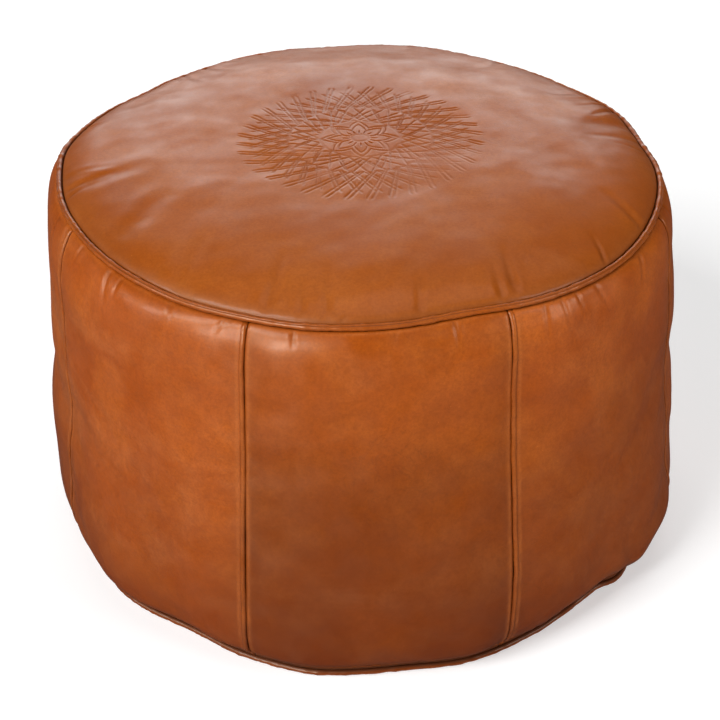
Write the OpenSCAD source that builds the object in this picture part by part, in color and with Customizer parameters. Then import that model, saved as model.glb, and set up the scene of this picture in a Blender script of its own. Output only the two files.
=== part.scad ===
// Round leather pouf: a drum of eight side panels between a crowned top and a flat base,
// piped at every seam, stuffed through a zip in the base.
// Millimetres, +Z up, origin on the floor at the centre of the base.

/* [Cover] */
// Radius of the seam between the top and the sides
rim_r = 262; // [240:1:290]
// Height of that seam above the floor
rim_h = 344.5; // [260:0.5:420]
// Rise of the top from its seam to its middle
crown_h = 26; // [10:1:45]
// Radius of the seam between the sides and the base
foot_r = 281; // [270:1:310]
// How far the stuffing pushes the lower part of the sides out
belly_bulge = 21; // [8:1:30]
// How far the stuffing pushes the upper part of the sides out
shoulder_bulge = 15.5; // [6:0.5:24]
// Number of side panels
panel_count = 8; // [6:1:8]
// Thickness of the leather
leather_t = 1.6; // [1.2:0.1:1.8]

/* [Seams] */
// Diameter of the piping round the top and the base
piping_d = 5; // [4:0.1:5.4]
// Diameter of the cotton cord inside that piping
cord_d = 3; // [2:0.1:3.2]
// Length of leather turned in at each seam
allowance = 10; // [7:0.5:11]
// Width of the raised welt that covers each upright seam
welt_w = 4.4; // [3.6:0.1:5]
// How far that welt stands out from the leather
welt_proud = 2.2; // [1.5:0.1:2.6]
// Diameter of the sewing thread
thread_d = 0.8; // [0.6:0.1:1]

/* [Zip] */
// Length of the zip's chain
zip_l = 380; // [200:5:400]
// Pitch of the zip's teeth
tooth_pitch = 3; // [2:0.5:5]
// Width of one zip tape
tape_w = 14; // [12:0.5:16]
// Length of the slider
slider_l = 14; // [12:0.5:18]
// Length of the pull tab beyond its crossbar
pull_l = 28; // [20:1:36]

/* [Hidden] */
$fn = 96;
PANELS = [for (i = [1 : panel_count]) str("side_panel_", i)];
WELTS = [for (i = [1 : panel_count]) str("side_welt_", i)];

leather = "sienna";
dark_leather = "saddlebrown";
cotton = "antiquewhite";
metal = "darkgoldenrod";

fit_gap = 0.1;                      // clear space between two layers of one seam
half_t = leather_t / 2;
welt_t = 2;                         // the welt's two layers where they are sewn in
layer_at = welt_t / 2 + fit_gap + half_t;   // from a seam's middle to the middle of the next layer
bead_out = piping_d / 2 + 0.5;      // from a seam's line out to the middle of its piping
foot_h = piping_d / 2 + 0.1 + bead_out * sin(45);
outline_steps = 28;

// Each seam is a point of the outline, the way its turned-in leather points, and the way to the
// lid, which is the top at the rim and the base at the foot.
rim_seam = [[rim_r, rim_h], [-sin(45), -sin(45)], [-sin(45), sin(45)]];
foot_seam = [[foot_r, foot_h], [-sin(45), sin(45)], [-sin(45), -sin(45)]];

function seam_point(seam, inward, to_lid) = seam[0] + seam[1] * inward + seam[2] * to_lid;
function unit(v) = v / norm(v);
function left_of(v) = [-v.y, v.x];

// The way that point i of a line is pushed out, long enough to keep both walls parallel.
function mitre(p, i) =
    let (a = left_of(unit(p[max(i, 1)] - p[max(i, 1) - 1])),
         b = left_of(unit(p[min(i, len(p) - 2) + 1] - p[min(i, len(p) - 2)])))
    (a + b) / (1 + a * b);
function shifted(p, by) = [for (i = [0 : len(p) - 1]) p[i] + mitre(p, i) * by];
function reversed(p) = [for (i = [len(p) - 1 : -1 : 0]) p[i]];
function off_axis(p) = [for (q = p) [max(q.x, 0), q.y]];
function strip(p, t) = off_axis(concat(shifted(p, t / 2), reversed(shifted(p, -t / 2))));

// Outlines of the leather's middle, from the foot up and from the centre out. Steps follow a
// cosine, so that they are short where the outline turns into a seam.
function ease(i, n) = (1 - cos(180 * i / n)) / 2;
side_lo = seam_point(foot_seam, 0, -layer_at);
side_hi = seam_point(rim_seam, 0, -layer_at);
waist = [0.3, 0.85];                // the share of the height over which the belly draws in
function side_bulge(t) =
    let (in_belly = (1 + cos(180 * min(max((t - waist[0]) / (waist[1] - waist[0]), 0), 1))) / 2)
    (belly_bulge * in_belly + shoulder_bulge * (1 - in_belly)) * sqrt(1 - pow(abs(2 * t - 1), 8));
function side_at(t) = side_lo + (side_hi - side_lo) * t + [side_bulge(t), 0];
function side_line(t0, t1, n) = [for (i = [0 : n]) side_at(t0 + (t1 - t0) * ease(i, n))];

top_edge = seam_point(rim_seam, 0, layer_at);
function top_at(x) = [top_edge.x * x, top_edge.y + (crown_h - half_t) * pow(1 - pow(x, 4), 0.55)];
top_line = [for (i = [0 : outline_steps]) top_at(sin(90 * i / outline_steps))];

base_edge = seam_point(foot_seam, 0, layer_at);
base_curl = base_edge.y - half_t;   // radius of the base's turned-up rim
base_line = concat([[0, half_t]],
    [for (a = [0 : 15 : 90]) [base_edge.x - base_curl * (1 - sin(a)), half_t + base_curl * (1 - cos(a))]]);

fin_range = [0.07, 0.93];           // the share of the height over which upright seams turn in
fin_line = side_line(fin_range[0], fin_range[1], outline_steps);
panel_angle = 360 / panel_count;
mean_r = (rim_r + foot_r) / 2 + half_t;
function angle_of(mm) = mm / mean_r * 180 / PI;

module sector(from, to) {
    rotate([0, 0, from]) rotate_extrude(angle = to - from) children();
}

// ---- leather -------------------------------------------------------------------------------

module top_panel() {
    color(leather) rotate_extrude()
        polygon(strip(concat(top_line, [seam_point(rim_seam, allowance, layer_at)]), leather_t));
}

module side_panel(i) {
    middle = -90 + (i - 1) * panel_angle;   // panel 1 faces the front, -Y
    half = panel_angle / 2 - angle_of(welt_t / 2 + fit_gap);
    whole = concat([seam_point(foot_seam, allowance, -layer_at)],
        side_line(0, 1, outline_steps),
        [seam_point(rim_seam, allowance, -layer_at)]);
    color(leather) {
        sector(middle - half, middle + half) polygon(strip(whole, leather_t));
        for (edge = [middle - half, middle + half - angle_of(leather_t)])
            sector(edge, edge + angle_of(leather_t))
                polygon(concat(fin_line, reversed(shifted(fin_line, allowance))));
    }
}

module side_welt(i) {
    at = -90 + (i - 0.5) * panel_angle;
    cap_line = side_line(0.015, 0.985, outline_steps);
    color(dark_leather) {
        sector(at - angle_of(welt_w / 2), at + angle_of(welt_w / 2))
            polygon(concat(shifted(cap_line, -half_t - fit_gap),
                reversed(shifted(cap_line, -half_t - welt_proud))));
        sector(at - angle_of(welt_t / 2), at + angle_of(welt_t / 2))
            polygon(concat(shifted(fin_line, -half_t - welt_proud / 2),
                reversed(shifted(fin_line, allowance))));
    }
}

// A strip of thin leather folded round its cord, with both edges sewn into the seam.
module piping(seam) {
    thin_t = (piping_d - cord_d) / 2 - fit_gap / 2;
    fold_r = (piping_d - thin_t) / 2;
    tail = (thin_t + fit_gap) / 2;
    open_angle = asin(tail / fold_r);
    turns = 20;
    fold = [for (i = [0 : turns]) let (a = open_angle + (360 - 2 * open_angle) * i / turns)
        seam_point(seam, -bead_out + fold_r * cos(a), fold_r * sin(a))];
    edges = [seam_point(seam, allowance, tail), seam_point(seam, allowance, -tail)];
    color(dark_leather) rotate_extrude()
        polygon(strip(concat([edges[0]], fold, [edges[1]]), thin_t));
}

module piping_cord(seam) {
    color(cotton) rotate_extrude()
        translate(seam_point(seam, -bead_out, 0)) circle(d = cord_d);
}

// ---- thread --------------------------------------------------------------------------------

// Two runs of a lockstitch, one on each face of a round seam.
module ring_thread(seam) {
    out = layer_at + half_t + thread_d / 2 + 0.05;
    color(cotton) for (side = [-out, out])
        rotate_extrude() translate(seam_point(seam, allowance / 2, side)) circle(d = thread_d);
}

module side_seam_thread() {
    out = welt_t / 2 + fit_gap + leather_t + 0.3;
    line = side_line(0.09, 0.91, outline_steps);
    color(cotton) for (i = [1 : panel_count], side = [-out - thread_d, out]) {
        from = -90 + (i - 0.5) * panel_angle + angle_of(side);
        sector(from, from + angle_of(thread_d))
            polygon(concat(shifted(line, allowance / 2),
                reversed(shifted(line, allowance / 2 + thread_d))));
    }
}

// ---- base and its zip ----------------------------------------------------------------------

recess_h = 8;                       // the zip lies this far above the floor, so its slider clears it
recess_w = 36;
recess_l = zip_l + 2 * (slider_l + pull_l + 6);
slot_w = 12;                        // slot between the base's two halves, where the chain shows
slot_l = zip_l + 2 * (slider_l + 6);
chain_w = 6.6;
chain_t = 2.4;
chain_gap = 1.8;                    // room between the two rows of teeth for the slider's post
tape_t = 0.6;
tape_z = recess_h + leather_t + 0.05;
chain_z = tape_z - 0.05 - chain_t;

// A slab with rounded corners, standing on z.
module slab(l, w, r, z, h) {
    corners = [for (q = [0 : 3], a = [0 : 15 : 90])
        let (sx = (q == 0 || q == 3) ? 1 : -1, sy = q < 2 ? 1 : -1)
        [sx * (l / 2 - r) + r * cos(a + 90 * q), sy * (w / 2 - r) + r * sin(a + 90 * q)]];
    translate([0, 0, z]) linear_extrude(h) polygon(corners);
}

module whole_base() {
    line = concat(base_line, [seam_point(foot_seam, allowance, layer_at)]);
    difference() {
        union() {
            rotate_extrude() polygon(strip(line, leather_t));
            slab(recess_l + 2 * leather_t, recess_w + 2 * leather_t, 12 + leather_t,
                half_t, recess_h + half_t);
        }
        slab(recess_l, recess_w, 12, -1, recess_h + 1);
    }
}

// The base is two halves with the zip between them: side is -1 at the front and 1 at the rear.
module base_half(side) {
    reach = foot_r + 20;
    color(leather) intersection() {
        whole_base();
        translate([-reach, side > 0 ? slot_w / 2 : -slot_w / 2 - reach, -1]) cube([2 * reach, reach, 60]);
    }
}

// A leather strip closes the slot beyond each end of the zip: end is -1 at the left.
module zip_end_tab(end) {
    reach = foot_r + 20;
    width = slot_w - 2 * fit_gap;
    color(dark_leather) intersection() {
        whole_base();
        translate([end > 0 ? slot_l / 2 : -slot_l / 2 - reach, -width / 2, -1]) cube([reach, width, 60]);
    }
}

// One half of the zip: side is -1 at the front and 1 at the rear.
module zip_tape(side) {
    y = side > 0 ? chain_gap / 2 : -chain_gap / 2 - tape_w;
    color("saddlebrown") translate([-slot_l / 2 - 5, y, tape_z]) cube([slot_l + 10, tape_w, tape_t]);
}

module zip_teeth(side) {
    n = floor(zip_l / tooth_pitch);
    spine = 1;
    reach = (chain_w - chain_gap) / 2;
    x0 = -n * tooth_pitch / 2;
    inner = chain_gap / 2;
    teeth = [for (i = [0 : n - 1], c = [[0, 0], [0.6, 0], [0.6, 1], [1, 1]])
        [x0 + (i + c[0]) * tooth_pitch, side * (inner + c[1] * (reach - spine))]];
    rim = [[x0 + n * tooth_pitch, side * (inner + reach)], [x0, side * (inner + reach)]];
    color(metal) translate([0, 0, chain_z]) linear_extrude(chain_t) polygon(concat(teeth, rim));
}

stop_l = 3;
module zip_top_stops() {
    color(metal) for (side = [-1, 1])
        translate([zip_l / 2 + slider_l + 1 + stop_l / 2, side * (chain_gap / 2 + 1.4), chain_z + chain_t / 2])
            cube([stop_l, 2.4, chain_t], center = true);
}

module zip_bottom_stop() {
    color(metal) translate([-zip_l / 2 - 0.5 - stop_l / 2, 0, chain_z + chain_t / 2])
        cube([stop_l, chain_w, chain_t], center = true);
}

// The slider: an outer and an inner wing joined by a post between the teeth, and an arch below
// that holds the pull.
slider_x = zip_l / 2 + slider_l / 2 + 0.5;
slider_w = 10.6;
wing_t = 1.1;
outer_wing_z = chain_z - 0.3 - wing_t;
inner_wing_z = tape_z + tape_t + 0.25;
arch_l = 9;
arch_h = 3.4;
arch_t = 1;
pin_d = 1.5;
pin_z = outer_wing_z - (arch_h - arch_t) / 2;

module zip_slider() {
    post_w = chain_gap - 0.6;
    lip_w = (slider_w - chain_w) / 2 - 0.4;
    arch_w = 2.2;
    color(metal) translate([slider_x, 0, 0]) {
        slab(slider_l, slider_w, 3, outer_wing_z, wing_t);
        slab(slider_l - 2, slider_w - 1, 3, inner_wing_z, wing_t);
        translate([-slider_l / 2 + 2, -post_w / 2, outer_wing_z + wing_t / 2])
            cube([5, post_w, inner_wing_z - outer_wing_z]);
        for (y = [-slider_w / 2, slider_w / 2 - lip_w])
            translate([-slider_l / 2 + 3, y, outer_wing_z + wing_t / 2])
                cube([slider_l - 6, lip_w, tape_z - 0.3 - outer_wing_z - wing_t / 2]);
        difference() {
            translate([-arch_l / 2, -arch_w / 2, outer_wing_z - arch_h])
                cube([arch_l, arch_w, arch_h + wing_t / 2]);
            translate([-arch_l / 2 + arch_t, -arch_w, outer_wing_z - arch_h + arch_t])
                cube([arch_l - 2 * arch_t, 2 * arch_w, arch_h - arch_t]);
        }
    }
}

// A flat tab with a window at its end; the crossbar that closes the window turns in the arch.
module zip_pull() {
    tab_w = 8;
    tab_t = 1.2;
    window = [arch_l / 2 + 1.2, 4];
    hole_d = 3;
    color(metal) translate([slider_x, 0, pin_z]) {
        rotate([90, 0, 0]) cylinder(d = pin_d, h = tab_w - 1, center = true);
        difference() {
            translate([-pull_l, -tab_w / 2, -tab_t / 2]) cube([pull_l + 0.5, tab_w, tab_t]);
            translate([-window.x, -window.y / 2, -tab_t]) cube([window.x + 1, window.y, 2 * tab_t]);
            translate([-pull_l + tab_w / 2, 0, -tab_t]) cylinder(d = hole_d, h = 2 * tab_t);
        }
    }
}

module zip_seam_thread() {
    color(cotton) for (side = [-1, 1])
        translate([-slot_l / 2, side * (slot_w / 2 + 4) - thread_d / 2, tape_z + tape_t + 0.05])
            cube([slot_l, thread_d, thread_d]);
}

// ---- filling -------------------------------------------------------------------------------

// The space inside the cover: its corners are cut off clear of the turned-in seams, and it has a
// slot at each upright seam and a hollow over the zip. More gap makes a smaller solid.
module filling(gap) {
    corner = allowance + 6 + gap * 1.5;
    low = side_at(0.1) - [half_t + gap, 0];
    high = side_at(0.9) - [half_t + gap, 0];
    sides = [for (i = [0 : 16]) side_at(0.1 + 0.8 * i / 16) - [half_t + gap, 0]];
    crown = [for (i = [0 : 12]) top_at(0.9 * (1 - i / 12)) - [0, leather_t + gap]];
    outline = concat([[0, leather_t + gap], [low.x - low.y + leather_t - corner / 4, leather_t + gap]],
        sides, crown);
    slot_w = 2 * (welt_t / 2 + leather_t + thread_d) + 2.4 + 2 * gap;
    difference() {
        rotate_extrude() polygon(outline);
        for (i = [1 : panel_count])
            rotate([0, 0, -90 + (i - 0.5) * panel_angle])
                translate([mean_r - corner - 2, -slot_w / 2, -1]) cube([60, slot_w, rim_h + crown_h + 2]);
        slab(recess_l + 2 * leather_t + 2 + 2 * gap, recess_w + 2 * leather_t + 2 + 2 * gap,
            14 + gap, -1, inner_wing_z + wing_t + 1.6 + gap);
    }
}

module liner_bag() {
    color(cotton) difference() {
        filling(0.6);
        filling(1.6);
    }
}

module stuffing() {
    color("ivory") filling(1.9);
}

for (i = [1 : panel_count]) {
    side_panel(i);
    side_welt(i);
}
top_panel();
piping(rim_seam);  // rim_piping
piping_cord(rim_seam);  // rim_piping_cord
piping(foot_seam);  // foot_piping
piping_cord(foot_seam);  // foot_piping_cord
base_half(-1);  // base_half_front
base_half(1);  // base_half_rear
zip_end_tab(-1);  // zip_end_tab_left
zip_end_tab(1);  // zip_end_tab_right
ring_thread(rim_seam);  // rim_seam_thread
ring_thread(foot_seam);  // foot_seam_thread
side_seam_thread();
zip_seam_thread();
liner_bag();
stuffing();
zip_tape(-1);  // zip_tape_front
zip_tape(1);  // zip_tape_rear
zip_teeth(-1);  // zip_teeth_front
zip_teeth(1);  // zip_teeth_rear
zip_top_stops();
zip_bottom_stop();
zip_slider();
zip_pull();
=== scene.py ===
"""A round leather pouf: a stuffed drum of eight side panels between a crowned top and a flat base.

Everything is in metres in the CAD model's own frame: +Z up, the floor at z = 0, the middle of side
panel 1 facing -Y. Angles run from -Y towards +X, so side panel 1 is at 0 and panel 2 at 45 degrees.
"""
import math

import bpy
import numpy as np
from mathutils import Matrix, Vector
from mathutils.geometry import tessellate_polygon


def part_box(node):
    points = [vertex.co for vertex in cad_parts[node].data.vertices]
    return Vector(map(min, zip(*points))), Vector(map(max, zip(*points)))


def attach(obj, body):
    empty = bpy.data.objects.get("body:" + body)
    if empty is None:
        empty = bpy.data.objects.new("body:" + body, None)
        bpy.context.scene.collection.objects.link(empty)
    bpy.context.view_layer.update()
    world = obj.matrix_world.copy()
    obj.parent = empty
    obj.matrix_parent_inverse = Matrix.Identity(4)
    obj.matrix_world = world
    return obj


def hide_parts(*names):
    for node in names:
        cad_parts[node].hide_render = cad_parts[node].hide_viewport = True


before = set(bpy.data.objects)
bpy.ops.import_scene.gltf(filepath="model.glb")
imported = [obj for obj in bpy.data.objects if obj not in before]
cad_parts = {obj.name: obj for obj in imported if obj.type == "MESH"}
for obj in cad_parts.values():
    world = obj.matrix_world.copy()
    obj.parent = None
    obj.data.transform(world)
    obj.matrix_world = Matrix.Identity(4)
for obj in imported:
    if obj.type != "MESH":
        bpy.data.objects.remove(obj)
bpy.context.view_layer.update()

MM = 0.001

# ---- sizes ---------------------------------------------------------------------------------------


def cord_ring(node):
    """The radius and height of a piping cord's middle."""
    low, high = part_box(node)
    half = (high.z - low.z) / 2
    return high.x - half, (low.z + high.z) / 2


RIM_R, RIM_Z = cord_ring("rim_piping_cord")
FOOT_R, FOOT_Z = cord_ring("foot_piping_cord")
BEAD_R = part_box("rim_piping")[1].x - RIM_R
TOP_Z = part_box("top_panel")[1].z
PANELS = 8
PANEL_ANGLE = 2 * math.pi / PANELS
LEATHER = 1.6 * MM
TURNED_IN = 8 * MM              # leather turned in at each seam
PLY = 1.9 * MM                  # from a seam's middle to the middle of the leather beside it
SEAM_GAP = 1.1 * MM             # from a seam's middle to the leather's face
BEAD_OUT = BEAD_R + 0.5 * MM    # from a seam's line out to the middle of its piping
BELLY = 21 * MM
SHOULDER = 15.5 * MM
WAIST = (0.3, 0.85)             # the share of the height over which the belly draws in
MEDALLION_R = 108 * MM
S45 = math.sin(math.pi / 4)


def smooth(x):
    """0 below 0, 1 above 1, and a soft step between."""
    x = np.clip(x, 0, 1)
    return x * x * (3 - 2 * x)


def bump(x):
    """A soft hill of height 1 round 0."""
    return np.exp(-x * x)


def wrapped(angle):
    """An angle brought to between minus and plus half a turn."""
    return (angle + math.pi) % (2 * math.pi) - math.pi


def full_turn(count):
    """Even angles round a whole turn, without the last one."""
    return np.linspace(0, 2 * math.pi, count, endpoint=False)


def off_spoke(turned, count):
    """The angle from each angle in turned to the nearest of count even spokes."""
    turns = turned * count / (2 * math.pi)
    return np.abs(turns - np.round(turns)) * 2 * math.pi / count


class Waves:
    """Smooth noise: a sum of plane waves in random directions, about -1 to 1."""

    def __init__(self, seed, shortest, longest, count=14):
        rng = np.random.default_rng(seed)
        way = rng.normal(size=(count, 3))
        way /= np.linalg.norm(way, axis=1)[:, None]
        length = np.exp(rng.uniform(math.log(shortest), math.log(longest), count))
        self.k = way * (2 * math.pi / length)[:, None]
        self.phase = rng.uniform(0, 2 * math.pi, count)
        self.scale = 1.4 / math.sqrt(count)

    def __call__(self, p):
        shape = p.shape[:-1]
        total = np.cos(p.reshape(-1, 3) @ self.k.T + self.phase).sum(1) * self.scale
        return total.reshape(shape)


# ---- how the two round seams wander --------------------------------------------------------------

# (angle in degrees, half-width in degrees, outward shift in mm)
RIM_SHIFTS = [(-98, 8, 4), (-63, 12, -1.6), (-33, 8, 2), (-11, 8, 2), (14, 9, -5), (45, 16, 3),
              (96, 9, -5), (126, 9, -5), (140, 10, -3), (164, 10, 5), (-176, 6, -3), (-142, 9, -5),
              (-128, 8, -8), (-118, 8, -2)]
FOOT_SHIFTS = [(-62, 10, -2.5), (-50, 7, 2), (-36, 10, -8), (-11, 6, 3), (5, 6, -2), (16, 6, 2),
               (31, 6, -2), (42, 5, -4.5), (54, 6, 7), (70, 8, -9), (88, 8, -2), (110, 12, 3), (140, 9, -5),
               (170, 10, 3), (-140, 12, -5), (-100, 10, 3)]
# (angle in degrees, half-width in degrees, upward shift in mm)
RIM_LIFTS = [(-70, 25, 1.5), (-20, 12, -1), (18, 10, 1.2), (60, 20, -1.5), (115, 20, -1), (158, 26, -2.5),
             (-150, 24, -2.5)]
FOOT_LIFTS = [(47, 3, 5), (36, 3, 2.5), (57, 3, 3), (66, 3, 4), (-48, 5, 1.5), (130, 5, 3), (-125, 5, 3)]


def shifts(table, angle):
    """The sum of a table's soft hills at each angle, in metres."""
    total = np.zeros_like(angle)
    for at, half, by in table:
        total = total + by * MM * bump(wrapped(angle - math.radians(at)) / math.radians(half))
    return total


# (angle and half-width in degrees, height and half-height in mm, outward swell in mm)
SIDE_SWELLS = [(72, 22, 95, 55, 3.5), (70, 11, 48, 27, 8), (-76, 26, 60, 55, -3.5), (-72, 14, 30, 20, -2),
               (-68, 12, 305, 30, 2), (-80, 13, 225, 60, -4), (-80, 24, 165, 36, -6),
               (72, 12, 235, 40, 2.5), (64, 9, 52, 17, 4.5), (69.5, 3, 26, 10, -3),
               (82, 14, 300, 30, -2.5), (-84, 14, 300, 30, -2)]


def side_swell(angle, z):
    """How far the side stands out at each angle and height, by SIDE_SWELLS."""
    total = np.zeros_like(angle)
    for at, half, height, tall, by in SIDE_SWELLS:
        total = total + by * MM * bump(wrapped(angle - math.radians(at)) / math.radians(half)) * bump(
            (z / MM - height) / tall)
    return total


def rim_shift(angle):
    return shifts(RIM_SHIFTS, angle)


def rim_lift(angle):
    return shifts(RIM_LIFTS, angle)


def foot_shift(angle):
    return shifts(FOOT_SHIFTS, angle)


def foot_lift(angle):
    return shifts(FOOT_LIFTS, angle)


# ---- cross-sections ------------------------------------------------------------------------------


def seam(ring_r, ring_z, lid):
    """A round seam's point, the way its turned-in leather points, and the way to the lid."""
    inward = np.array([-S45, -S45 * lid])
    return np.array([ring_r, ring_z]) + inward * BEAD_OUT, inward, np.array([-S45, S45 * lid])


RIM = seam(RIM_R, RIM_Z, 1)
FOOT = seam(FOOT_R, FOOT_Z, -1)


def seam_point(which, inward, to_lid):
    """A point of a round seam's section, by its two directions."""
    return which[0] + which[1] * inward + which[2] * to_lid


class Section:
    """The middle of a leather panel's thickness, cut through the pouf's axis: points with their
    normals (to the left of the way it runs) and each point's length along it."""

    def __init__(self, points, soften=1.3 * MM, step=0.25 * MM, axis_start=False):
        points = np.array(points)
        run = np.r_[0, np.cumsum(np.linalg.norm(np.diff(points, axis=0), axis=1))]
        s = np.arange(0, run[-1], step)
        p = np.stack([np.interp(s, run, points[:, k]) for k in (0, 1)], 1)
        half = int(4 * soften / step)
        kernel = bump(np.arange(-half, half + 1) * step / (soften * 1.41))
        kernel /= kernel.sum()
        padded = np.vstack([2 * p[0] - p[half:0:-1], p, 2 * p[-1] - p[-2:-half - 2:-1]])
        self.p = np.stack([np.convolve(padded[:, k], kernel, "valid") for k in (0, 1)], 1)
        if axis_start:
            self.p[0, 0] = 0
        d = np.gradient(self.p, axis=0)
        d /= np.linalg.norm(d, axis=1)[:, None]
        self.n = np.stack([-d[:, 1], d[:, 0]], 1)
        self.s = s

    def at(self, s):
        p = np.stack([np.interp(s, self.s, self.p[:, k]) for k in (0, 1)], -1)
        n = np.stack([np.interp(s, self.s, self.n[:, k]) for k in (0, 1)], -1)
        return p, n / np.linalg.norm(n, axis=-1, keepdims=True)


def side_bulge(t):
    """How far the side stands out past a straight line, t of the way up."""
    in_belly = (1 + np.cos(math.pi * np.clip((t - WAIST[0]) / (WAIST[1] - WAIST[0]), 0, 1))) / 2
    edge = np.sqrt(np.maximum(1 - np.abs(2 * t - 1) ** 8, 0))
    return (BELLY * in_belly + SHOULDER * (1 - in_belly)) * edge


def side_points():
    """The side's section from the rim's turned-in edge to the foot's."""
    low, high = seam_point(FOOT, 0, -PLY), seam_point(RIM, 0, -PLY)
    t = (1 - np.cos(np.linspace(0, math.pi, 90))) / 2
    line = low + (high - low) * t[:, None]
    line[:, 0] += side_bulge(t)
    return np.vstack([seam_point(RIM, TURNED_IN, -PLY), line[::-1], seam_point(FOOT, TURNED_IN, -PLY)])


def top_points():
    """The top's section from the middle to its turned-in edge."""
    edge = seam_point(RIM, 0, PLY)
    x = np.sin(np.linspace(0, math.pi / 2, 120))
    line = np.stack([edge[0] * x, edge[1] + (TOP_Z - LEATHER / 2 - edge[1]) * (1 - x ** 4) ** 0.55], 1)
    return np.vstack([line, seam_point(RIM, TURNED_IN, PLY)])


SIDE = Section(side_points())           # runs down from the rim, so its normal is outward
TOP = Section(top_points(), axis_start=True)
SIDE_END = SIDE.s[-1] - TURNED_IN       # lengths along the side where it turns in at the seams
SIDE_START = TURNED_IN
TOP_END = TOP.s[-1] - TURNED_IN


def even(step):
    """The same step everywhere, for spaced."""
    return lambda x: np.full_like(x, step)


def spaced(start, stop, spacing):
    """Numbers from start to stop whose steps are about spacing(x)."""
    if stop < start:
        return spaced(stop, start, spacing)[::-1]
    fine = np.linspace(start, stop, 4000)
    count = np.r_[0, np.cumsum(0.5 * np.diff(fine) * (1 / spacing(fine[1:]) + 1 / spacing(fine[:-1])))]
    return np.interp(np.linspace(0, count[-1], int(round(count[-1])) + 1), count, fine)


# ---- creases -------------------------------------------------------------------------------------


def crease_pair(u, v, creases):
    """(displacement, how deep in a crease) at points u, v of an unrolled surface, all in mm.
    A crease is (u0, v0, u1, v1, half-width, depth), deepest at its first end."""
    push, deep = np.zeros_like(u), np.zeros_like(u)
    for u0, v0, u1, v1, half, depth in creases:
        near = (np.abs(u - (u0 + u1) / 2) < abs(u1 - u0) / 2 + 4 * half) & (
            np.abs(v - (v0 + v1) / 2) < abs(v1 - v0) / 2 + 4 * half)
        if not near.any():
            continue
        du, dv = u1 - u0, v1 - v0
        along = ((u[near] - u0) * du + (v[near] - v0) * dv) / (du * du + dv * dv)
        held = np.clip(along, 0, 1)
        away = np.hypot(u[near] - u0 - held * du, v[near] - v0 - held * dv) / half
        strength = (1 - held) ** 0.8 * (0.35 + 0.65 * smooth(held * 6)) * depth
        push[near] += -strength * (1 - 1.5 * away ** 2) * bump(away)
        deep[near] += strength * bump(away * 1.8) * min(1, (3.2 / half) ** 2)
    return push * MM, deep


def random_creases(seed, count, where, length, half, depth, lean=0.5):
    """Creases that start in the box where = (u0, u1, v0, v1) and run mostly along v."""
    rng = np.random.default_rng(seed)
    found = []
    for _ in range(count):
        u, v = rng.uniform(*where[:2]), rng.uniform(*where[2:])
        run = rng.uniform(*length)
        slope = rng.normal() * lean
        way = 1 if rng.uniform() < 0.5 or where[3] - where[2] < 20 else -1
        scale = math.sqrt(1 + slope * slope)
        found.append((u, v, u + run * slope / scale, v + way * run / scale,
                      rng.uniform(*half), rng.uniform(*depth)))
    return found


UNROLL = 285.0                          # mm of the side's length per radian, where creases are drawn
SIDE_MM = (SIDE_END - SIDE_START) / MM


def at(degrees):
    """An angle as a length along the unrolled side, in mm."""
    return math.radians(degrees) * UNROLL


# Creases of the side, with v in mm down from the rim. The first ones are short puckers at the rim.
SIDE_CREASES = [
    (at(-51), 1, at(-50), 34, 4, 1.5), (at(-47.5), 1, at(-48), 22, 3, 1.0),
    (at(-25.5), 1, at(-27), 16, 2.4, 1.0), (at(-24.6), 2, at(-25.6), 10, 2, 0.8),
    (at(-13.8), 1, at(-13.6), 17, 2.5, 1.2), (at(12.7), 1, at(13), 26, 2.6, 1.3),
    (at(29), 1, at(28.4), 34, 2.6, 0.8), (at(32.3), 1, at(33), 38, 3.0, 0.8),
    (at(35.5), 1, at(36.5), 24, 2.4, 0.9), (at(40), 1, at(42), 30, 3.5, 0.8),
    (at(3), 1, at(2), 14, 2.4, 0.7), (at(-36), 1, at(-35), 20, 3.4, 0.8),
    (at(-61), 1, at(-62), 26, 3.5, 1.2), (at(54), 1, at(52), 30, 4, 1.2),
]
SIDE_CREASES += random_creases(11, 34, (at(64), at(292), 1, 2), (12, 42), (2.4, 4.5), (0.7, 1.5), 0.15)
SIDE_CREASES += random_creases(12, 60, (at(-180), at(180), SIDE_MM - 1, SIDE_MM), (-34, -10),
                               (2.4, 4.5), (0.6, 1.5), 0.2)
# Soft folds across the panels
SIDE_CREASES += [
    (at(-56), 30, at(-46), 90, 16, 0.9), (at(-60), 320, at(-40), 230, 20, 0.8),
    (at(60), 40, at(50), 110, 18, 1.0), (at(57), 300, at(40), 200, 22, 1.2),
    (at(-18), 60, at(6), 120, 20, 1.0), (at(18), 330, at(-8), 250, 22, 1.2),
    (at(52), 340, at(47), 250, 12, 2.5),
]
SIDE_CREASES += random_creases(13, 14, (at(110), at(250), 40, 300), (60, 150), (12, 22), (0.8, 1.8), 1.2)


def in_plane(angle, radius):
    """The place in the plane at an angle in degrees and a radius."""
    a = math.radians(angle)
    return radius * math.sin(a), -radius * math.cos(a)


def radial(angle0, radius0, angle1, radius1, half, depth):
    """A crease of the top, by the angles and the radii of its two ends."""
    return (*in_plane(angle0, radius0), *in_plane(angle1, radius1), half, depth)


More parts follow.
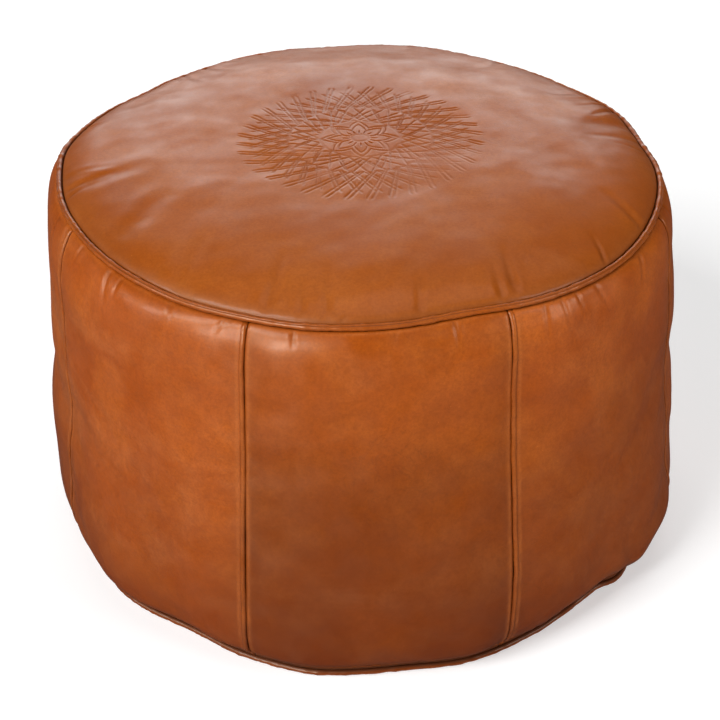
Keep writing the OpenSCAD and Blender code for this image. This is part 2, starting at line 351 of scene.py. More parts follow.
# Creases of the top, seen from above, from the rim inwards.
TOP_CREASES = [
    radial(44.9, 262, 48.7, 236, 2.6, 2.0), radial(46.4, 256, 47.2, 246, 1.4, 0.8),
    radial(25.1, 252, 29.5, 208, 5, 2.2), radial(22, 256, 24, 226, 4, 1.4),
    radial(-6.4, 262, -4, 250, 1.5, 0.8), radial(-7.2, 258, -9, 248, 1.4, 0.7),
    radial(-5.4, 254, -8, 256, 1.2, 0.6), radial(-8.8, 258, -10, 205, 5, 1.2),
    radial(-19, 256, -21, 190, 6, 1.3), radial(-13, 258, -14, 225, 4, 0.9),
    radial(7, 258, 9, 215, 5, 1.0), radial(60, 258, 66, 215, 6, 1.6),
    radial(-78, 250, -80, 180, 13, 1.6), radial(-54, 252, -67, 165, 15, 1.8),
    radial(-36, 255, -40, 205, 8, 0.9), radial(102, 256, 100, 205, 14, 2.8),
]


def random_radial(seed, count, low, high):
    """Creases that run in from the rim, between two angles in degrees."""
    rng = np.random.default_rng(seed)
    return [radial(a, 260, a + rng.normal() * 3, 260 - rng.uniform(20, 60),
                   rng.uniform(3, 6.5), rng.uniform(0.7, 1.8))
            for a in rng.uniform(low, high, count)]


TOP_CREASES += random_radial(21, 22, 70, 285)

WAVE_BROAD = Waves(31, 160 * MM, 340 * MM)
WAVE_MID = Waves(32, 55 * MM, 110 * MM, 20)
WAVE_FINE = Waves(33, 16 * MM, 34 * MM, 26)


# ---- the leather's shape -------------------------------------------------------------------------


def ring_point(angle, r, z):
    """The point at an angle round the pouf, a radius and a height."""
    return np.stack([r * np.sin(angle), -r * np.cos(angle), z], -1)


SEAM_ANGLES = [math.radians(22.5 + 45 * k) for k in range(PANELS)]


def seam_distance(angle, r):
    """How far a point is, along the side, from the nearest upright seam."""
    off = (angle - PANEL_ANGLE / 2) % PANEL_ANGLE
    return np.minimum(off, PANEL_ANGLE - off) * r


# (a seam's angle in degrees, how far it wanders in degrees at the rim, half way down and at the foot)
SEAM_WANDER = [(-67.5, 0, -0.5, -3.6), (-22.5, 0.6, 0.6, 0.2), (22.5, 0, -0.2, 0.2), (67.5, 0.4, 1.0, 3.5),
               (112.5, 0, 1.5, -1), (157.5, 0, -1, 1.2), (-157.5, 0, 1, 0), (-112.5, 0, -0.8, 0.8)]


def seam_wander(angle, z):
    """The turn that carries each seam from its even place to where it is, shared with its panels."""
    down = np.clip(1 - z / RIM_Z, 0, 1)
    total = np.zeros_like(angle)
    for at, top, middle, foot in SEAM_WANDER:
        by = (top * (1 - down) * (1 - 2 * down) + 4 * middle * down * (1 - down)
              + foot * down * (2 * down - 1))
        near = smooth(1 - np.abs(wrapped(angle - math.radians(at))) / PANEL_ANGLE)
        total = total + np.radians(by) * near
    return total


# ---- the cover under its filling -----------------------------------------------------------------

SIM_COLS, SIM_ROWS = 320, 66
SIM_FRAMES = 20
CLOTH_SETTINGS = {
    "quality": 6, "mass": 0.5, "air_damping": 4,
    "tension_stiffness": 40, "compression_stiffness": 40, "shear_stiffness": 20, "bending_stiffness": 12,
    "use_pressure": True, "uniform_pressure_force": 4,
    "shrink_min": -0.008,               # the leather grows by this share, so it has some to pucker with
    "vertex_group_mass": "sewn",
}
PUCKER_SHARE = 0.55
PUCKER_CAP = 1.2 * MM
# How far the simulated side leather stands out of its smooth shape, all zero until it has run.
PUCKERS = np.zeros((SIM_ROWS, SIM_COLS))


def spline_weights(t):
    """Weights of the four grid points round a place that is t of the way from the second to the third."""
    return (
        (1 - t) ** 3 / 6,
        (3 * t ** 3 - 6 * t ** 2 + 4) / 6,
        (-3 * t ** 3 + 3 * t ** 2 + 3 * t + 1) / 6,
        t ** 3 / 6,
    )


def pucker(angle, s):
    """PUCKERS at any place of the side, read off as a smooth curve through its grid."""
    column = angle / (2 * math.pi) % 1 * SIM_COLS
    row = np.clip((s - SIDE_START) / (SIDE_END - SIDE_START), 0, 1) * (SIM_ROWS - 1)
    left = np.floor(column).astype(int)
    upper = np.floor(row).astype(int)
    total = 0
    for i, across in enumerate(spline_weights(column - left)):
        for j, down in enumerate(spline_weights(row - upper)):
            near_row = np.clip(upper + j - 1, 0, SIM_ROWS - 1)
            total = total + across * down * PUCKERS[near_row, (left + i - 1) % SIM_COLS]
    return total


SEAM_PULL = 1.6 * MM                    # how far the upright seams draw the leather in
FOOT_TUCK = 4.5 * MM                    # how far it tucks in just above the foot piping
LOW_TUCK = (1.2 * MM, 3.3 * MM)         # and a little higher: everywhere, and more on the right
RIGHT_TUCK_AT = math.radians(46)


def swelling(base, broad, mid, free, edge):
    """Waves of three lengths. The long ones die out at free, the short ones only at edge."""
    long_waves = (broad * WAVE_BROAD(base) + mid * WAVE_MID(base)) * MM
    return long_waves * free + 0.07 * MM * WAVE_FINE(base) * edge


def side_surface(angle, s):
    """(point, normal, crease depth) of the middle of the side leather. angle and s are arrays."""
    p, n = SIDE.at(s)
    r, z = p[..., 0], p[..., 1]
    between = seam_distance(angle, r)
    puckered = pucker(angle, s)
    angle = angle + seam_wander(angle, z)
    share = smooth((z - FOOT_Z) / (RIM_Z - FOOT_Z))
    r = r + rim_shift(angle) * share + foot_shift(angle) * (1 - share) ** 3
    z = z + rim_lift(angle) * share + foot_lift(angle) * (1 - share) ** 6
    from_rim, from_foot = s - SIDE_START, SIDE_END - s
    free = smooth(from_rim / (14 * MM)) * smooth(from_foot / (14 * MM))
    edge = smooth((from_rim - 1 * MM) / (4 * MM)) * smooth((from_foot - 1 * MM) / (4 * MM))
    base = ring_point(angle, r, z)
    out = puckered + swelling(base, 1.1, 0.45, free, edge) - SEAM_PULL * bump(between / (22 * MM)) * free
    to_right = bump(wrapped(angle - RIGHT_TUCK_AT) / math.radians(24))
    tuck = bump((from_foot - 8.5 * MM) / (10 * MM)) * smooth(from_foot / (3 * MM)) * (1 + 0.5 * to_right)
    low_tuck = (LOW_TUCK[0] + LOW_TUCK[1] * to_right) * bump((from_foot - 20 * MM) / (13 * MM))
    out = out + side_swell(angle, z) * free - FOOT_TUCK * tuck - low_tuck
    deep = 0
    for turn in (0, 2 * math.pi):
        push, crease = crease_pair((wrapped(angle) + turn) * UNROLL, from_rim / MM, SIDE_CREASES)
        out = out + push * edge
        deep = deep + crease * edge
    normal = ring_point(angle, n[..., 0], n[..., 1])
    return base + normal * out[..., None], normal, deep


def top_surface(angle, s):
    """(point, normal, crease depth) of the middle of the top leather."""
    p, n = TOP.at(s)
    r, z = p[..., 0], p[..., 1]
    share = np.clip(r / RIM_R, 0, 1) ** 3
    base = ring_point(angle, r + rim_shift(angle) * share, z + rim_lift(angle) * share)
    free = smooth((TOP_END - s) / (30 * MM))
    edge = smooth((TOP_END - s - 1 * MM) / (4 * MM))
    at_back = smooth(-np.cos(angle + 0.15) * 1.4)
    hollow = 3 * MM * bump((share ** (1 / 3) - 0.84) / 0.16) * at_back * free
    swell = swelling(base, 0.8, 0.35, free, edge) - hollow
    push, deep = crease_pair(base[..., 0] / MM, base[..., 1] / MM, TOP_CREASES)
    normal = ring_point(angle, n[..., 0], n[..., 1])
    return base + normal * (swell + push * edge)[..., None], normal, deep * edge


# ---- the medallion -------------------------------------------------------------------------------

LATTICE_LINES = 36
LINE_WIDTH = 0.78 * MM
PRESS_DEPTH = 0.8 * MM


def medallion(x, y):
    """How deep the blind-pressed pattern is at a point of the top, from 0 to 1: a lattice of crossing
    lines round a ring of points round a rosette. It is worn away in places."""
    r = np.hypot(x, y) / MEDALLION_R
    angle = np.arctan2(y, x)
    width = LINE_WIDTH / MEDALLION_R

    def line(distance, scale=1.0):
        return bump(distance / (width * scale))

    def zigzag(middle, height, count, turn=0.0):
        ramp = off_spoke(angle + turn, count) * count / math.pi
        steep = math.hypot(1, 2 * height * count / (2 * math.pi * middle))
        return np.abs(r - middle - height * (ramp - 0.5) * 2) / steep

    def crossing(miss, count, way, turn=0.0):
        """Distance to the nearest of count straight lines that all pass the middle at miss."""
        lean = np.arccos(np.minimum(miss / np.maximum(r, miss), 1))
        off = off_spoke(angle + way * lean + turn, count)
        return off * np.sqrt(np.maximum(r * r - miss * miss, 0))

    def between(start, end, blur=0.02):
        """1 from start to end of the radius, 0 outside, with blurred edges."""
        return smooth((r - start) / blur) * smooth((end - r) / blur)

    ragged = 0.95 + 0.05 * np.sign(np.sin(LATTICE_LINES * angle))
    outer_band = between(0.56, ragged + 0.02, 0.03)
    middle_band = between(0.33, 0.58)
    inner = smooth((0.34 - r) / 0.02)
    pressed = np.zeros_like(r)
    for way in (1, -1):
        for turn in (-0.023, 0.023):
            pressed = np.maximum(pressed, line(crossing(0.36, LATTICE_LINES, way, turn)) * outer_band)
        pressed = np.maximum(pressed, line(crossing(0.24, 24, way, 0.05)) * middle_band)
    pressed = np.maximum(pressed, line(zigzag(0.46, 0.09, 12)) * middle_band)
    for middle in (0.26, 0.20):
        pressed = np.maximum(pressed, line(zigzag(middle, 0.055, 8, math.pi / 8)) * inner)
    for ring in (0.33, 0.065):
        pressed = np.maximum(pressed, line(np.abs(r - ring), 0.9) * 0.7)
    pressed = np.maximum(pressed, line(off_spoke(angle, 16) * r, 0.8) * between(0.08, 0.15))
    worn = np.clip(0.92 + 0.2 * WAVE_FINE(np.stack([x, y, 0 * x], -1)), 0.3, 1)
    faded = 1 - 0.75 * bump(np.hypot(x - 65 * MM, y + 55 * MM) / (45 * MM))
    return pressed * worn * faded


# ---- meshes --------------------------------------------------------------------------------------


def volume(verts, faces):
    """The volume inside closed faces, below zero where they face inwards."""
    total = 0.0
    for f in faces:
        a = verts[f[:, 0]].astype(float)
        for k in range(1, f.shape[1] - 1):
            total += np.einsum("ij,ij->", a, np.cross(verts[f[:, k]], verts[f[:, k + 1]]))
    return total / 6


def mesh_piece(name, verts, faces, material, values=None):
    """A smooth-shaded mesh object. faces are lists of quads or triangles with equal corner counts;
    values are floats for the material, one per vertex, by name."""
    mesh = bpy.data.meshes.new(name)
    verts = np.ascontiguousarray(verts, dtype=np.float32).reshape(-1, 3)
    faces = [np.asarray(f, dtype=np.int32) for f in faces if len(f)]
    if volume(verts, faces) < 0:
        faces = [f[:, ::-1] for f in faces]
    corners = np.concatenate([f.ravel() for f in faces])
    totals = np.concatenate([np.full(len(f), f.shape[1], np.int32) for f in faces])
    starts = np.r_[0, np.cumsum(totals)[:-1]].astype(np.int32)
    mesh.vertices.add(len(verts))
    mesh.vertices.foreach_set("co", verts.ravel())
    mesh.loops.add(len(corners))
    mesh.loops.foreach_set("vertex_index", corners)
    mesh.polygons.add(len(totals))
    mesh.polygons.foreach_set("loop_start", starts)
    mesh.polygons.foreach_set("loop_total", totals)
    mesh.update(calc_edges=True)
    mesh.polygons.foreach_set("use_smooth", np.ones(len(totals), bool))
    for key, value in (values or {}).items():
        attribute = mesh.attributes.new(key, "FLOAT", "POINT")
        attribute.data.foreach_set("value", np.ascontiguousarray(value, dtype=np.float32).ravel())
    mesh.materials.append(material)
    piece = bpy.data.objects.new(name, mesh)
    bpy.context.scene.collection.objects.link(piece)
    return piece


def grid_quads(rows, cols, wrap_rows=False, wrap_cols=False, start=0):
    """The quads of a grid of points that are numbered row by row."""
    i = np.arange(rows if wrap_rows else rows - 1)
    j = np.arange(cols if wrap_cols else cols - 1)
    i, j = (a.ravel() for a in np.meshgrid(i, j, indexing="ij"))
    i1, j1 = (i + 1) % rows, (j + 1) % cols
    return start + np.stack([i * cols + j, i * cols + j1, i1 * cols + j1, i1 * cols + j], 1)


def end_fans(first, last, middle):
    """Triangles that close the first and the last ring, round the points number middle and the next."""
    return np.vstack([np.stack([np.full(len(first), middle), np.roll(first, -1), first], 1),
                      np.stack([np.full(len(last), middle + 1), last, np.roll(last, -1)], 1)])


def shell(name, outer, inner, material, values):
    """A closed sheet of leather from the grids of its two faces."""
    rows, cols = outer.shape[:2]
    n = rows * cols
    ring = np.r_[np.arange(cols), np.arange(1, rows) * cols + cols - 1,
                 (rows - 1) * cols + np.arange(cols - 2, -1, -1), np.arange(rows - 2, 0, -1) * cols]
    after = np.roll(ring, -1)
    faces = np.vstack([grid_quads(rows, cols), grid_quads(rows, cols, start=n)[:, ::-1],
                       np.stack([after, ring, ring + n, after + n], 1)])
    both = {k: np.concatenate([v.ravel(), v.ravel()]) for k, v in values.items()}
    return mesh_piece(name, np.concatenate([outer.reshape(-1, 3), inner.reshape(-1, 3)]), [faces],
                      material, both)


def tube(name, rings, material, values=None, closed=True):
    """A swept piece from rings of points, (rings, points round each, 3)."""
    rows, cols = rings.shape[:2]
    faces = [grid_quads(rows, cols, wrap_rows=closed, wrap_cols=True)]
    if not closed:
        faces.append(np.arange(cols)[None, ::-1])
        faces.append(((rows - 1) * cols + np.arange(cols))[None, :])
    return mesh_piece(name, rings, faces, material, values)


# ---- materials -----------------------------------------------------------------------------------


class Nodes:
    """A material's node tree, with short calls for the nodes used here."""

    def __init__(self, name):
        self.material = bpy.data.materials.new(name)
        self.material.use_nodes = True
        self.tree = self.material.node_tree
        self.shader = self.tree.nodes["Principled BSDF"]
        self.place = self.add("ShaderNodeTexCoord").outputs["Object"]

    def add(self, kind, **settings):
        node = self.tree.nodes.new(kind)
        for key, value in settings.items():
            setattr(node, key, value)
        return node

    def put(self, socket, value):
        if isinstance(value, bpy.types.NodeSocket):
            self.tree.links.new(value, socket)
        else:
            socket.default_value = value

    def noise(self, scale, detail=3.0, rough=0.55, distortion=0.0, place=None):
        node = self.add("ShaderNodeTexNoise")
        self.put(node.inputs["Vector"], place or self.place)
        for key, value in (("Scale", scale), ("Detail", detail), ("Roughness", rough),
                           ("Distortion", distortion)):
            node.inputs[key].default_value = value
        return node.outputs["Fac"]

    def stretched(self, scale):
        node = self.add("ShaderNodeMapping")
        self.put(node.inputs["Vector"], self.place)
        node.inputs["Scale"].default_value = scale
        return node.outputs["Vector"]

    def cells(self, scale, feature="F1"):
        node = self.add("ShaderNodeTexVoronoi", feature=feature)
        self.put(node.inputs["Vector"], self.place)
        node.inputs["Scale"].default_value = scale
        return node.outputs["Distance"]

    def value(self, name):
        return self.add("ShaderNodeAttribute", attribute_name=name).outputs["Fac"]

    def math(self, operation, a, b=0.0, clamp=False):
        node = self.add("ShaderNodeMath", operation=operation, use_clamp=clamp)
        self.put(node.inputs[0], a)
        self.put(node.inputs[1], b)
        return node.outputs[0]

    def remap(self, value, low, high, to_low=0.0, to_high=1.0):
        node = self.add("ShaderNodeMapRange")
        for key, item in (("Value", value), ("From Min", low), ("From Max", high),
                          ("To Min", to_low), ("To Max", to_high)):
            self.put(node.inputs[key], item)
        return node.outputs["Result"]

    def mix(self, share, a, b, blend="MIX"):
        node = self.add("ShaderNodeMix", data_type="RGBA", blend_type=blend)
        self.put(node.inputs["Factor"], share)
        self.put(node.inputs["A"], (*a, 1.0) if isinstance(a, tuple) else a)
        self.put(node.inputs["B"], (*b, 1.0) if isinstance(b, tuple) else b)
        return node.outputs["Result"]

    def split(self):
        """The x, y and z of a place."""
        node = self.add("ShaderNodeSeparateXYZ")
        self.put(node.inputs[0], self.place)
        return node.outputs

    def times(self, a, b):
        return self.math("MULTIPLY", a, b)

    def tint(self, color, where, share, to):
        """color, turned to another one by a share of where."""
        return self.mix(self.math("MULTIPLY", where, share, clamp=True), color, to)

    def bump(self, height, distance, strength=1.0, onto=None):
        node = self.add("ShaderNodeBump")
        node.inputs["Strength"].default_value = strength
        node.inputs["Distance"].default_value = distance
        self.put(node.inputs["Height"], height)
        if onto is not None:
            self.put(node.inputs["Normal"], onto)
        return node.outputs["Normal"]

    def finish(self, color, rough, normal=None, **constants):
        self.put(self.shader.inputs["Base Color"], color)
        self.put(self.shader.inputs["Roughness"], rough)
        if normal is not None:
            self.put(self.shader.inputs["Normal"], normal)
        for key, value in constants.items():
            self.shader.inputs[key.replace("_", " ")].default_value = value
        return self.material


def shade_of(color, *shares):
    """A colour with each channel scaled, by its own share or by the only one."""
    return tuple(c * s for c, s in zip(color, shares * 3 if len(shares) == 1 else shares))


def waxed_leather(name, deep, middle, light, rough=0.42, coat=0.12):
    """Pull-up leather: cloudy dye, each side panel's tone with painted light, painted shade in seams and
    creases and towards the floor, paler where it is rubbed and where a painted highlight lies on raised
    edges, with pores, fine wrinkles and a few healed scars under a coat of wax."""
    m = Nodes(name)
    dark = shade_of(deep, 0.14)
    pale = tuple(c * 1.5 + 0.015 for c in light)
    stretched_pale = (light[0] * 0.95, light[1] * 1.25, light[2] * 4 + 0.008)
    # the dye, each side panel's tone with painted light, and painted shade towards the floor
    pulled = m.noise(8.0, 5.0, 0.6, 0.8, place=m.stretched((0.8, 0.8, 1.7)))
    color = m.mix(m.remap(m.noise(5.5, 4.0, 0.55, 0.3), 0.30, 0.68), deep, middle)
    color = m.tint(color, m.remap(m.noise(17.0, 4.0, 0.6, 0.3), 0.45, 0.78), 0.55, light)
    color = m.tint(color, m.remap(pulled, 0.52, 0.72), 0.30, stretched_pale)
    color = m.tint(color, m.remap(pulled, 0.46, 0.28), 0.35, deep)
    color = m.tint(color, m.remap(m.noise(120.0, 4.0, 0.65), 0.4, 0.66), 0.32, deep)
    # each side panel's tone, with painted light and shade for how the light falls on it
    color = m.mix(1.0, color, m.math("ADD", m.value("tone"), 1.0), "MULTIPLY")
    # painted shade: darker towards the floor, up to 0.25 m, where less light reaches the side
    low = m.times(m.remap(m.split()["Z"], 0.0, 0.25, 1.0, 0.0),
                  m.remap(m.noise(9.0, 3.0), 0.3, 0.7, 0.55, 1.0))
    color = m.tint(color, low, 0.85, shade_of(deep, 0.45, 0.30, 0.3))
    # wear and painted highlights on raised edges, veins and fine grain
    # paler on rubbed and raised edges: wear with a painted highlight
    worn = m.times(m.value("wear"), m.remap(m.noise(60.0, 3.0), 0.3, 0.7, 0.3, 1.0))
    color = m.tint(color, worn, 0.45, pale)
    vein_line = m.math("ABSOLUTE", m.math("SUBTRACT", m.noise(30.0, 6.0, 0.62, 1.5), 0.5))
    veins = m.times(m.remap(vein_line, 0.0, 0.016, 1.0, 0.0), m.remap(m.noise(7.0, 2.0), 0.42, 0.62))
    color = m.tint(color, veins, 0.16, dark)
    color = m.tint(color, m.remap(m.noise(420.0, 3.0, 0.75), 0.40, 0.64), 0.30, shade_of(deep, 0.6))
    # painted shade in creases and seams, and the pressed pattern
    # painted shade in the creases
    color = m.tint(color, m.value("crease"), 0.22, dark)
    # painted shade in the seams' grooves, tucks and folds
    color = m.tint(color, m.value("groove"), 0.9, shade_of(deep, 0.42))
    color = m.tint(color, m.value("press"), 0.34, shade_of(middle, 0.42))
    # scars and specks
    scars = m.times(m.remap(m.cells(34.0), 0.0, 0.030, 1.0, 0.0), m.remap(m.noise(11.0, 2.0), 0.62, 0.67))
    specks = m.times(m.remap(m.cells(150.0), 0.04, 0.09, 1.0, 0.0), m.remap(m.noise(16.0, 3.0), 0.60, 0.66))
    color = m.tint(color, m.math("MAXIMUM", scars, specks), 0.40, pale)
    # the surface
    normal = m.bump(m.cells(620.0, "SMOOTH_F1"), 0.08 * MM, 0.20)
    normal = m.bump(m.noise(420.0, 3.0, 0.6, 0.8), 0.10 * MM, 0.25, normal)
    normal = m.bump(m.remap(m.cells(1500.0), 0.0, 0.4), 0.05 * MM, 0.12, normal)
    normal = m.bump(m.times(veins, -1.0), 0.10 * MM, 0.4, normal)
    normal = m.bump(m.noise(70.0, 3.0), 0.30 * MM, 0.07, normal)
    roughness = m.remap(m.noise(35.0, 4.0), 0.3, 0.7, rough - 0.08, rough + 0.12)
    roughness = m.math("ADD", roughness, m.times(m.value("groove"), 0.3))
    m.shader.inputs["Specular Tint"].default_value = (1.0, 0.74, 0.48, 1)
    return m.finish(color, roughness, normal, Coat_Weight=coat, Coat_Roughness=0.18,
                    Specular_IOR_Level=0.38)


SIDE_LEATHER = waxed_leather("side_leather", (0.250, 0.042, 0.001), (0.400, 0.077, 0.003),
                             (0.480, 0.116, 0.008), rough=0.38, coat=0.07)
TOP_LEATHER = waxed_leather("top_leather", (0.290, 0.056, 0.002), (0.385, 0.086, 0.006),
                            (0.450, 0.122, 0.014), rough=0.42, coat=0.12)
PIPING_LEATHER = waxed_leather("piping_leather", (0.210, 0.036, 0.001), (0.350, 0.068, 0.003),
                               (0.450, 0.108, 0.008), rough=0.36, coat=0.15)
BASE_LEATHER = waxed_leather("base_leather", (0.16, 0.038, 0.010), (0.33, 0.088, 0.020),
                             (0.44, 0.15, 0.04), rough=0.55, coat=0.08)


def woven(name, dark, light, threads):
    """Plain-woven cloth: two sets of threads that go over and under each other."""
    m = Nodes(name)
    x, y, z = m.split()
    first, second = (m.math("SINE", m.times(m.math("ADD", along, m.times(z, 0.7)), threads))
                     for along in (x, y))
    weave = m.times(first, second)
    slub = m.remap(m.noise(260.0, 3.0), 0.3, 0.7, -0.5, 0.5)
    color = m.mix(m.remap(m.math("ADD", weave, slub), -1.2, 1.2), dark, light)
    return m.finish(color, 0.85, m.bump(weave, 0.12 * MM, 0.5), Sheen_Weight=0.25, Sheen_Roughness=0.5)


def spun(name, dark, light, scale=900.0):
    """Spun cotton: fine fibres, matt."""
    m = Nodes(name)
    fibre = m.noise(scale, 4.0, 0.7, 1.0)
    color = m.mix(m.remap(fibre, 0.35, 0.7), dark, light)
    return m.finish(color, 0.8, m.bump(fibre, 0.15 * MM, 0.4), Sheen_Weight=0.3, Sheen_Roughness=0.5)


def old_brass(name):
    """Brass that is tarnished in places."""
    m = Nodes(name)
    tarnish = m.noise(300.0, 4.0, 0.6)
    color = m.mix(m.remap(tarnish, 0.35, 0.7), (0.36, 0.23, 0.07), (0.70, 0.50, 0.20))
    scratch = m.noise(1500.0, 2.0, 0.6)
    return m.finish(color, m.remap(tarnish, 0.3, 0.7, 0.24, 0.42), m.bump(scratch, 0.02 * MM, 0.3),
                    Metallic=1.0)


COTTON_CORD = spun("cotton_cord", (0.52, 0.46, 0.36), (0.72, 0.66, 0.54))
THREAD = spun("thread", (0.50, 0.26, 0.10), (0.72, 0.46, 0.24), 1500.0)
LINER_COTTON = woven("liner_cotton", (0.50, 0.44, 0.34), (0.70, 0.64, 0.52), 5200.0)
STUFFING_COTTON = spun("stuffing_cotton", (0.55, 0.52, 0.47), (0.78, 0.75, 0.69), 140.0)
TAPE_CLOTH = woven("zip_tape_cloth", (0.10, 0.045, 0.02), (0.20, 0.10, 0.05), 7500.0)
ZIP_METAL = old_brass("zip_metal")

# ---- pieces --------------------------------------------------------------------------------------


def dressed(piece, node, body="pouf"):
    """Attaches a piece to the body it rides on and hides the CAD node it stands for."""
    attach(piece, body)
    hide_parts(node)
    return piece


def leather_rows(start, end):
    """Lengths along a section: fine at both seams, coarser between them."""
    def spacing(s):
        near = np.minimum(np.abs(s - start), np.abs(s - end)) / MM
        inside = (s > start) & (s < end)
        step = np.where(near < 4, 0.7, np.interp(near, [4, 10, 60, 90], [0.9, 1.6, 1.8, 3.0]))
        return np.where(inside, step, np.where(near < 3, 0.7, 2.5)) * MM
    return spacing


# On which side of its seam each welt lies. The panel there is tight against it, and the panel on
# the other side rolls into a deeper groove.
WELT_SIDE = [1, 1, 1, -1, -1, 1, -1, -1]
TIGHT_ROLL, DEEP_ROLL = 2.2 * MM, 3.2 * MM
# How much lighter each side panel's leather is than the rest, at its foot and at its top: partly its
# own tone and partly painted light and shade for how the light falls on each panel.
PANEL_TONES_AND_LIGHT = [(-0.20, 0.05), (0.02, 0.30), (0.20, 0.10), (-0.10, 0.05), (0.02, -0.06), (0.10, 0.05),
               (0.16, 0.12), (0.24, 0.20)]


def simulate_cover():
    """Cloth simulation of the eight side panels, sewn at their seams and blown up by the filling.
    Gives the puckers: how far the leather leaves its broad shape, gently and with a cap."""
    s = np.linspace(SIDE_START, SIDE_END, SIM_ROWS)
    start, normal, _ = side_surface(*np.meshgrid(full_turn(SIM_COLS), s))
    cage = mesh_piece("cover_cage", start, [grid_quads(SIM_ROWS, SIM_COLS, wrap_cols=True)], SIDE_LEATHER)
    row, column = np.indices((SIM_ROWS, SIM_COLS))
    step = SIM_COLS // PANELS
    sewn = ((column - step // 2) % step == 0) | (row == 0) | (row == SIM_ROWS - 1)
    held = cage.vertex_groups.new(name="sewn")
    held.add([int(k) for k in np.flatnonzero(sewn.ravel())], 1.0, "REPLACE")
    cloth = cage.modifiers.new("cloth", "CLOTH")
    for key, value in CLOTH_SETTINGS.items():
        setattr(cloth.settings, key, value)
    cloth.settings.effector_weights.gravity = 0
    cloth.collision_settings.use_collision = False
    cloth.point_cache.frame_start, cloth.point_cache.frame_end = 1, SIM_FRAMES
    scene = bpy.context.scene
    for number in range(1, SIM_FRAMES + 1):
        scene.frame_set(number)
    moved = np.zeros(start.size, np.float32)
    seen = cage.evaluated_get(bpy.context.evaluated_depsgraph_get())
    seen.data.vertices.foreach_get("co", moved)
    scene.frame_set(1)
    mesh = cage.data
    bpy.data.objects.remove(cage)
    bpy.data.meshes.remove(mesh)
    out = np.sum((moved.reshape(start.shape) - start) * normal, axis=2)
    # the broad shape is the mean over the rows near by, and the rest is the puckers
    index = np.arange(SIM_ROWS)
    weight = bump((index[:, None] - index[None, :]) / 6)
    fine = out - weight @ out / weight.sum(1)[:, None]
    inside = smooth((np.minimum(index, SIM_ROWS - 1 - index) - 3) / 7)[:, None]
    return PUCKER_CAP * np.tanh(PUCKER_SHARE * fine * inside / PUCKER_CAP)


def side_panel(index):
    """A leather panel whose two upright edges roll in to their seams."""
    s = spaced(0, SIDE.s[-1], leather_rows(SIDE_START, SIDE_END))
    # the panel's left seam is welt index - 1 and its right seam is welt index
    roll_left = DEEP_ROLL if WELT_SIDE[index - 1] < 0 else TIGHT_ROLL
    roll_right = DEEP_ROLL if WELT_SIDE[index] > 0 else TIGHT_ROLL
    turn = np.linspace(0, math.pi / 2, 8)[1:]
    fin = np.array([2.5, 5, 8]) * MM
    flat = np.linspace(0, 1, int(PANEL_ANGLE * UNROLL / 1.9))
    r = SIDE.at(s)[0][:, :1]
    edge = PANEL_ANGLE / 2 * r - SEAM_GAP
    left, right = roll_left - edge, edge - roll_right
    left_turn = left - roll_left * np.sin(turn)[None, :]
    right_turn = right + roll_right * np.sin(turn)[None, :]
    across = np.hstack([np.repeat(left_turn[:, -1:], 3, 1), left_turn[:, ::-1],
                        left + (right - left) * flat,
                        right_turn, np.repeat(right_turn[:, -1:], 3, 1)])
    in_left, in_right = roll_left * (1 - np.cos(turn)), roll_right * (1 - np.cos(turn))
    depth = np.r_[(in_left[-1] + fin)[::-1], in_left[::-1], np.zeros(len(flat)),
                  in_right, in_right[-1] + fin]
    depth = np.repeat(depth[None, :], len(s), 0)
    body = smooth((s - SIDE_START) / (3 * MM)) * smooth((SIDE_END - s) / (3 * MM))
    depth = np.minimum(depth, 2 * MM + body[:, None] * 20 * MM)
    angle = PANEL_ANGLE * index + across / r
    point, normal, deep = side_surface(angle, np.repeat(s[:, None], across.shape[1], 1))
    # the leather's face leans over as it rolls in, so its thickness turns with it
    lean = np.r_[np.full(3, -1.0), -np.sin(turn)[::-1], np.zeros(len(flat)), np.sin(turn), np.full(3, 1.0)]
    along = np.stack([np.cos(angle), np.sin(angle), 0 * angle], -1)
    face = normal * np.sqrt(1 - lean ** 2)[None, :, None] + along * lean[None, :, None]
    sunk = point - normal * depth[..., None]
    from_rim = np.minimum(np.abs(s - SIDE_START), np.abs(s - SIDE_END))[:, None] / MM
    from_fold = np.minimum(across - across[:, :1], across[:, -1:] - across) / MM
    nearest = np.minimum(from_rim, from_fold)
    # painted shade: a dark band beside the foot piping, where the leather tucks in, and a thin one at the
    # rim
    painted_shade_band = np.where((s > (SIDE_START + SIDE_END) / 2)[:, None], 3.6, 1.0)
    groove = np.clip(smooth((depth / MM - 0.5) / 1.6) + smooth((painted_shade_band - from_rim) / 1.4), 0, 1)
    # each panel's tone with painted light and shade, from its foot to its top
    foot_tone_and_light, top_tone_and_light = PANEL_TONES_AND_LIGHT[index]
    # painted shade in the grooves and near the seams and the rim, wear with a painted highlight just in
    # from the edges, painted shade in the creases, and tone with painted light
    values = {"groove": np.clip(groove + 0.20 * bump(nearest / 10), 0, 1),
              "wear": bump((nearest - 3.4) / 1.5) * (1 - groove),
              "crease": deep,
              "tone": foot_tone_and_light + (top_tone_and_light - foot_tone_and_light) * smooth((point[..., 2] - 180 * MM) / (130 * MM))}
    name = f"side_panel_{index + 1}"
    piece = shell(name + "_leather", sunk + face * LEATHER / 2, sunk - face * LEATHER / 2,
                  SIDE_LEATHER, values)
    return dressed(piece, name)


